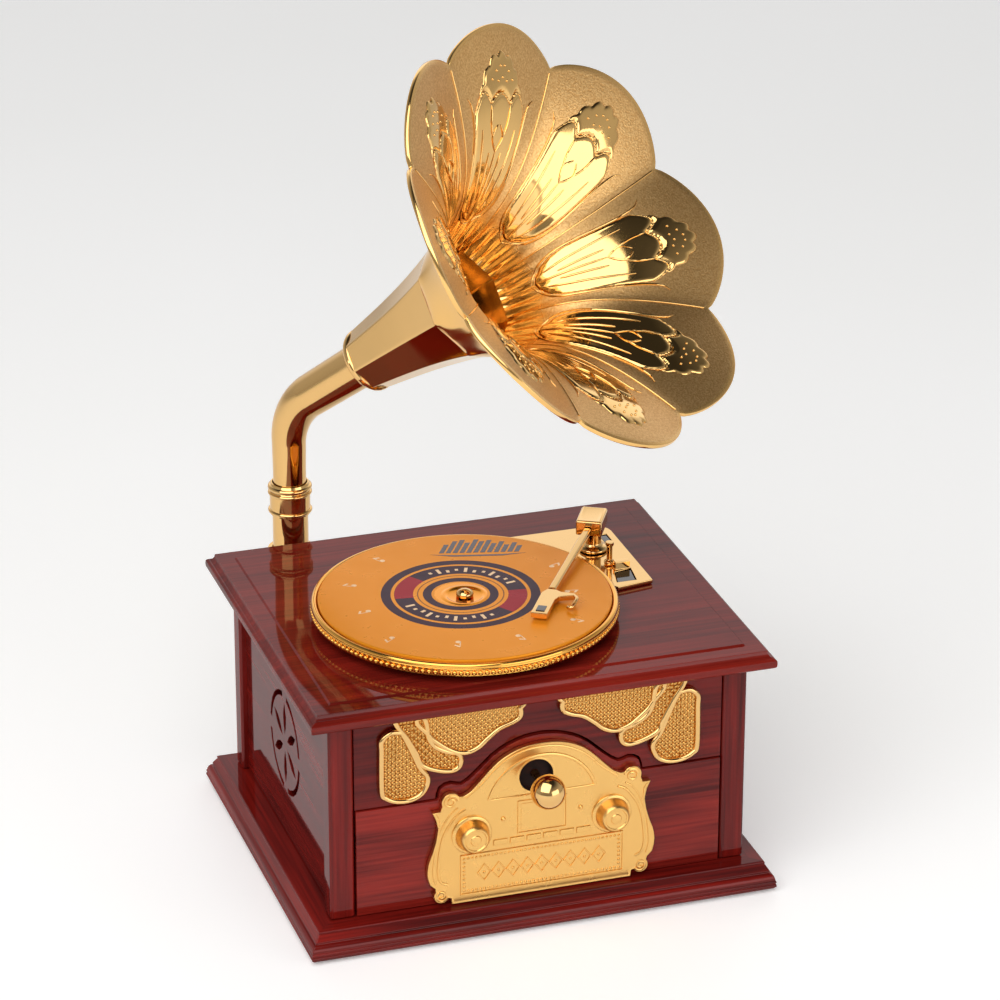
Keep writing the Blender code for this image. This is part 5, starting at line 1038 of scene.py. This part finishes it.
tube = walled(skin(TUBE_STEPS, len(route) - 1, on_tube), TUBE_WALL)
shown("bent_horn_tube", tube, polished_gold, "horn", 60, "horn_tube")
low, high = (corner.z for corner in corners("lower_tube"))
pipe = turned(rectangle(LOWER_TUBE - TUBE_WALL, 0, LOWER_TUBE, high - low))
shown("straight_tube", moved(pipe, TUBE.x, TUBE.y, low), polished_gold, "case", stands_for="lower_tube")
side, top = COLLAR, COLLAR_HEIGHT
collar = turned([(COLLAR_BORE, 0), (side, 0), *arc(side, 1.0, 0.6, -90, 90, 6), (side, 1.9),
                 (side, top - 4.1), *arc(side, top - 3.3, 0.6, -90, 90, 6),
                 *arc(side - 0.2, top - 1.5, 0.8, -90, 90, 6), (side - 0.5, top), (5.55, top),
                 (5.55, top / 2), (COLLAR_BORE, top / 2)])
moved(collar, TUBE.x, TUBE.y, corners("tube_collar")[0].z)
shown("beaded_collar", collar, polished_gold, "case", stands_for="tube_collar")
eased("tube_flange", "gilt_elbow", polished_gold, 0.3, 40)


# Horn neck
# An eight-sided plated cone with flat faces and crisp edges, which starts at a round bead and flares into
# the bell.
PETALS = 8
SEAM_TURN = 3.45
NECK_END = 80.0
NECK_RADIUS = 9.3
NECK_ROWS = 24
NECK_WALL = 1.0
THROAT_RADIUS = 18.0
BELL_WALL = 1.6
horn_place = Matrix.Translation(bend_point) @ turn(HORN_AZIMUTH, "Z") @ turn(bend, "Y")


def neck_radius(s):
    """Distance of the neck's edges from its axis, at a length along it."""
    share = (s - NECK_START - 1.5) / (NECK_END - NECK_START - 1.5)
    return NECK_RADIUS + (THROAT_RADIUS + BELL_WALL - 1.4 - NECK_RADIUS) * (0.7 * share + 0.3 * share**3)


def on_neck(turn_share, share):
    s = NECK_START + 2.6 + (NECK_END - NECK_START - 2.6) * share
    return *polar(neck_radius(s), 360 * turn_share + SEAM_TURN), s


cone = walled(skin(PETALS, NECK_ROWS, on_neck), NECK_WALL)
long_edges = [e for e in sharp_edges(cone, 30) if e.calc_face_angle() < radians(60)
              and e.verts[0].co.xy.length > neck_radius(e.verts[0].co.z) - 0.3]
rounded(cone, long_edges, 0.35)
low = NECK_START
ring = turned([(7.4, low), (8.9, low),
               *[(9.0 + 1.35 * x, low + 1.5 + 1.5 * z) for x, z in arc(0, 0, 1, -70, 70, 7)],
               (8.9, low + 3.0), (8.5, low + 3.6), (7.4, low + 3.6)])
shown("octagonal_neck", moved(joined([cone, ring]), matrix=horn_place), polished_gold, "horn", 12,
      "horn_neck")


# Horn bell
# Eight petals moulded in one plastic shell and plated gold. Their faces are sand-textured and dull, and
# each carries a raised, mirror-bright flower; the throat, the rim and the back are smooth.
HALF_PETAL = 180 / PETALS
NOTCH_RADIUS = 61.4
NOTCH_REACH = 42.7
PETAL_RADIUS = 7.0
PETAL_REACH = 5.6
BELL_START = NECK_END + 0.05
BELL_COLUMNS = 32 * PETALS
BELL_ROWS = 48
SAND_FROM, SAND_TO, SAND_END = 0.16, 0.30, 0.985
SAND_GRIT = 0.55  # coarser than the real grit, so that it shows
SAND_DEPTH = 0.09
PLEATS = 5
PLEAT_DEPTH = 0.5
PLEAT_END = 0.34


def bell_point(azimuth, share, pleated=True):
    """Point on the bell's inner face: azimuth in degrees from a seam, share from throat to rim."""
    wave = abs(sin(radians(azimuth * PETALS / 2)))
    from_seam = abs((azimuth + HALF_PETAL) % (2 * HALF_PETAL) - HALF_PETAL)
    throat = THROAT_RADIUS * cos(radians(HALF_PETAL)) / cos(radians(HALF_PETAL - from_seam))
    fold = PETAL_RADIUS * max(share, 0.0) ** 0.7 * wave ** (1 - 0.29 * share * share)
    radius = throat + (NOTCH_RADIUS - throat) * (0.25 * share + 0.75 * share**3) + fold
    if pleated and 0 < share < PLEAT_END:
        fade = min(1.0, share / 0.04) * (1 - share / PLEAT_END)
        radius -= PLEAT_DEPTH * cos(radians(azimuth * PETALS * PLEATS)) * fade
    reach = NOTCH_REACH + PETAL_REACH * wave
    return Vector((*polar(radius, azimuth + SEAM_TURN), BELL_START + reach * share))


def bell_outward(azimuth, share):
    """Unit vector out of the bell's back at a point."""
    step = 0.01
    here = bell_point(azimuth, share)
    along = bell_point(azimuth, share + step, False) - bell_point(azimuth, share - step, False)
    around = bell_point(azimuth + step, share, False) - bell_point(azimuth - step, share, False)
    outward = around.cross(along).normalized()
    return outward if outward.dot(Vector((here.x, here.y, -here.xy.length))) > 0 else -outward


bm = bmesh.new()
sand, turn_at, share_at = (bm.verts.layers.float.new(layer) for layer in ("sand", "turn_at", "share_at"))
bmesh.ops.create_grid(bm, x_segments=BELL_COLUMNS, y_segments=BELL_ROWS, size=0.5)
for vert in bm.verts:
    azimuth, share = 360 * (vert.co.x + 0.5), (vert.co.y + 0.5) ** 0.9
    sanded = min(1.0, max(0.0, (share - SAND_FROM) / (SAND_TO - SAND_FROM)))
    vert[sand] = sanded if share < SAND_END else 0.0
    vert[turn_at], vert[share_at] = azimuth, share
    vert.co = bell_point(azimuth, share)
bmesh.ops.remove_doubles(bm, verts=bm.verts, dist=0.0005)
for vert in doubled(bm):
    azimuth, share = vert[turn_at], vert[share_at]
    vert.co = bell_point(azimuth, share, False) + bell_outward(azimuth, share) * (BELL_WALL - 0.1)
    vert.co.z = max(vert.co.z, BELL_START)
    vert[sand] = 0.0
outwards(bm)
rim_low = BELL_START + NOTCH_REACH - 3
rounded(bm, [e for e in sharp_edges(bm, 60) if min(v.co.z for v in e.verts) > rim_low], 0.35)
moved(bm, matrix=horn_place)

# Plating over a sand-textured mould: a dull sparkle of grit, which fades to a smooth bright throat.
sand_gold, tree, shader, place = finish("sand_textured_gold_plating", {"Metallic": 1.0})
rough_part = node(tree, "Attribute", attribute_name="sand").outputs["Fac"]
grit = node(tree, "TexNoise", {"Vector": place, "Scale": 1 / (SAND_GRIT * MM), "Detail": 2.0})
masked = node(tree, "Math", {0: grit, 1: rough_part}, operation="MULTIPLY")
grains = node(tree, "ValToRGB", {0: grit}, [(0.35, "#D6A262"), (0.65, "#EEC282")])
feed(shader, {
    "Base Color": node(tree, "Mix", {0: rough_part, 6: hex_colour("#F0C077"), 7: grains}, data_type="RGBA"),
    "Roughness": node(tree, "MapRange", {0: rough_part, 3: 0.12, 4: 0.36}),
    "Normal": node(tree, "Bump", {"Strength": 1.0, "Distance": SAND_DEPTH * MM, "Height": masked}),
})
shown("petal_bell", bm, sand_gold, "horn", 25, "horn_bell")


# Flowers on the petals
# Each is a long cup with a lobed bud over it, raised from the petal in the mould and left mirror-bright,
# and drawn with fine raised lines that curl out at its shoulders.
FLOWER_FROM, FLOWER_TO = 0.21, 0.93
FLOWER_LONG = 46.0
FLOWER_HALF = 13.0
FLOWER_CELL = 0.42
FLOWER_LIFT = 0.45
FLOWER_CROWN = 0.35
FLOWER_LINE = 0.36
FLOWER_BACK = 0.45
FLOWER_SUNK = -0.39  # the pressed sheet is cut away from here down, inside the petal
CUP_SIDE = [(0.0, 0.0), (1.5, 2.2), (5.0, 4.6), (10.0, 6.4), (16.0, 7.8), (22.0, 8.9), (28.0, 9.9),
            (34.0, 11.2), (41.0, 12.4)]
LIP_PLACE = 36.6
LIP_MIDDLE, LIP_SIDE = 4.4, 7.5
BUD_PLACE, BUD_WIDE, BUD_TALL = 38.4, 9.6, 7.5
BUD_SEED = 0.45
PAIRED_LINES = [
    [(0.2, -1.6), (2.8, 1.2), (5.4, 5.4), (7.2, 10.5), (8.6, 17.0), (9.7, 24.0), (10.8, 30.5), (12.2, 35.6),
     (14.0, 39.2), (16.2, 41.2)],
    [(2.4, 5.0), (3.9, 12.0), (5.4, 21.0), (7.6, 32.0)],
    [(1.3, 9.5), (2.0, 17.0), (2.7, 25.0)],
    [(0.0, 25.0), (2.3, 29.0), (0.6, 31.8)],
    [(2.3, 29.0), (3.7, 32.4), (4.4, 36.4)],
]
BUD_SEEDS = [(-4.6, 41.4), (-2.8, 42.8), (-0.9, 43.6), (0.9, 43.6), (2.8, 42.8), (4.6, 41.4), (-1.9, 40.9),
             (0.0, 41.5), (1.9, 40.9)]
SEAM_LINE = 0.3


def cup_half(v):
    """Half-width of the cup at a height above its point."""
    for (v0, w0), (v1, w1) in zip(CUP_SIDE, CUP_SIDE[1:]):
        if v <= v1:
            return w0 + (w1 - w0) * (v - v0) / (v1 - v0)
    return CUP_SIDE[-1][1]


def lip_height(u):
    """Height of the cup's scalloped lip: a small lobe between two large ones."""
    u = abs(u)
    if u < LIP_MIDDLE:
        return LIP_PLACE + 1.9 * cos(pi * u / (2 * LIP_MIDDLE))
    return LIP_PLACE + 3.0 * sin(pi * min(u - LIP_MIDDLE, LIP_SIDE) / LIP_SIDE)


def flower_height(u, v):
    """Relief above the petal; below zero outside the flower."""
    u = abs(u)
    cup = min(cup_half(v) - u, lip_height(u) - v, v + 0.2)
    bud_u, bud_v = u / BUD_WIDE, (v - BUD_PLACE) / BUD_TALL
    reach = hypot(bud_u, bud_v)
    crest = 0.93 + 0.11 * abs(sin(atan2(bud_v, bud_u) * 7))
    bud = min((crest - reach) * BUD_WIDE, v - lip_height(u) - 0.5)
    inside_by = max(cup, bud)
    if inside_by < 0:
        return max(inside_by, -0.5) * 0.8
    lift = FLOWER_LIFT * min(1.0, inside_by / 0.8) ** 0.5
    across = reach if bud > cup else u / max(cup_half(v), 1.0)
    return lift + FLOWER_CROWN * (1 - across * across)


def on_petal(petal, u, v, lift):
    """Point above a petal's face, u across its middle line and v up from the flower's point."""
    share = FLOWER_FROM + (FLOWER_TO - FLOWER_FROM) * v / FLOWER_LONG
    middle = (petal + 0.5) * 360 / PETALS
    azimuth = middle + degrees(u / bell_point(middle, share).xy.length)
    return bell_point(azimuth, share) - bell_outward(azimuth, share) * lift


def tapering(share):
    """Radius of a flower's line, thinner towards both ends."""
    return FLOWER_LINE * (0.45 + 0.55 * min(1.0, 6 * min(share, 1 - share)))


def raised_line(petal, points):
    """Fine raised line on the flower of a petal."""
    line = [on_petal(petal, u, v, max(flower_height(u, v), 0.0) + 0.05) for u, v in flowing(points, 5)]
    return swept(line, tapering, sides=6, towards=-bell_outward((petal + 0.5) * 360 / PETALS, 0.6))


flowers, outlines = [], []
lip_line = [(u, lip_height(u)) for u in [-11.7 + 0.78 * i for i in range(31)]]
sheet_columns, sheet_rows = round(2 * FLOWER_HALF / FLOWER_CELL), round((FLOWER_LONG + 2) / FLOWER_CELL)
for petal in range(PETALS):
    bm, hidden = bmesh.new(), []
    bmesh.ops.create_grid(bm, x_segments=sheet_columns, y_segments=sheet_rows, size=0.5)
    for vert in bm.verts:
        u, v = vert.co.x * 2 * FLOWER_HALF, (vert.co.y + 0.5) * (FLOWER_LONG + 2) - 1.0
        rise = flower_height(u, v)
        vert.co = on_petal(petal, u, v, rise)
        if rise <= FLOWER_SUNK:
            hidden.append(vert)
    bmesh.ops.delete(bm, geom=hidden, context="VERTS")
    flowers.append(bm)
    for points in PAIRED_LINES:
        outlines += [raised_line(petal, [(sign * u, v) for u, v in points]) for sign in (-1, 1)]
    outlines += [raised_line(petal, [(0.0, 1.0), (0.0, 13.0), (0.0, 25.0)]), raised_line(petal, lip_line)]
    outlines.append(beads([on_petal(petal, u, v, flower_height(u, v)) for u, v in BUD_SEEDS], BUD_SEED))
    seam = petal * 360 / PETALS
    ridge = [bell_point(seam, 0.1 + 0.885 * i / 60, False) for i in range(61)]
    outlines.append(swept(ridge, lambda share: SEAM_LINE * (0.4 + 0.6 * min(1.0, 5 * share)),
                          towards=-bell_outward(seam + 1.0, 0.6)))
flower_mesh = joined(flowers)
for vert in doubled(flower_mesh):
    azimuth = degrees(atan2(vert.co.y, vert.co.x)) - SEAM_TURN
    vert.co += bell_outward(azimuth, 0.6) * FLOWER_BACK
outwards(flower_mesh)
# Plating on the smoothest part of the mould: nearly a mirror beside the sanded petals.
mirror_gold = gilt("mirror_gold_plating", "#F0C27A", 0.05, 0.10, 3.0, 0.01)
shown("petal_flowers", moved(flower_mesh, matrix=horn_place), mirror_gold, "horn", 60)
shown("petal_lines", moved(joined(outlines), matrix=horn_place), mirror_gold, "horn", 60)


# Movement
# A small wind-up comb movement hangs under the slab: machined brass plates, barrel, cylinder and wheels,
# with a hardened steel comb, shafts, screws and fan.
CUTTER_LINES = (0.4, 6.67, 0.4)  # along each axis, coarser than the real lines, so that they show
BRASS_PARTS = ("bedplate", "spring_barrel", "great_wheel", "music_cylinder", "cylinder_wheel",
               "governor_frame", "governor_wheel")
STEEL_PARTS = ("mainspring", "winding_arbor", "comb", "comb_screw_1", "comb_screw_2", "governor_fan",
               "movement_screw_1", "movement_screw_2", "movement_screw_3", "arm_pivot_shaft", "stop_lever",
               "flange_screw_1", "flange_screw_2")


def machined(name, dark, light, rough_low, rough_high):
    """Bare metal with the fine lines of the cutter on it."""
    made, tree, shader, place = finish(name, {"Metallic": 1.0})
    marks = streaks(tree, place, CUTTER_LINES, 3.0)
    feed(shader, {
        "Base Color": node(tree, "ValToRGB", {0: marks}, [(0.35, dark), (0.65, light)]),
        "Roughness": node(tree, "MapRange", {0: marks, 1: 0.3, 2: 0.7, 3: rough_low, 4: rough_high}),
        "Normal": node(tree, "Bump", {"Strength": 0.4, "Distance": 0.01 * MM, "Height": marks}),
    })
    return made


# Brass shows a pale yellow between darker cuts; hardened steel is grey and brighter.
brass = machined("machined_brass", "#B08A45", "#D9B56C", 0.22, 0.36)
steel = machined("bright_steel", "#8C8C90", "#BEBEC2", 0.18, 0.3)
for metal, parts in ((brass, BRASS_PARTS), (steel, STEEL_PARTS)):
    for part in parts:
        slots = frame["nodes"][part].data.materials
        slots.clear()
        slots.append(metal)
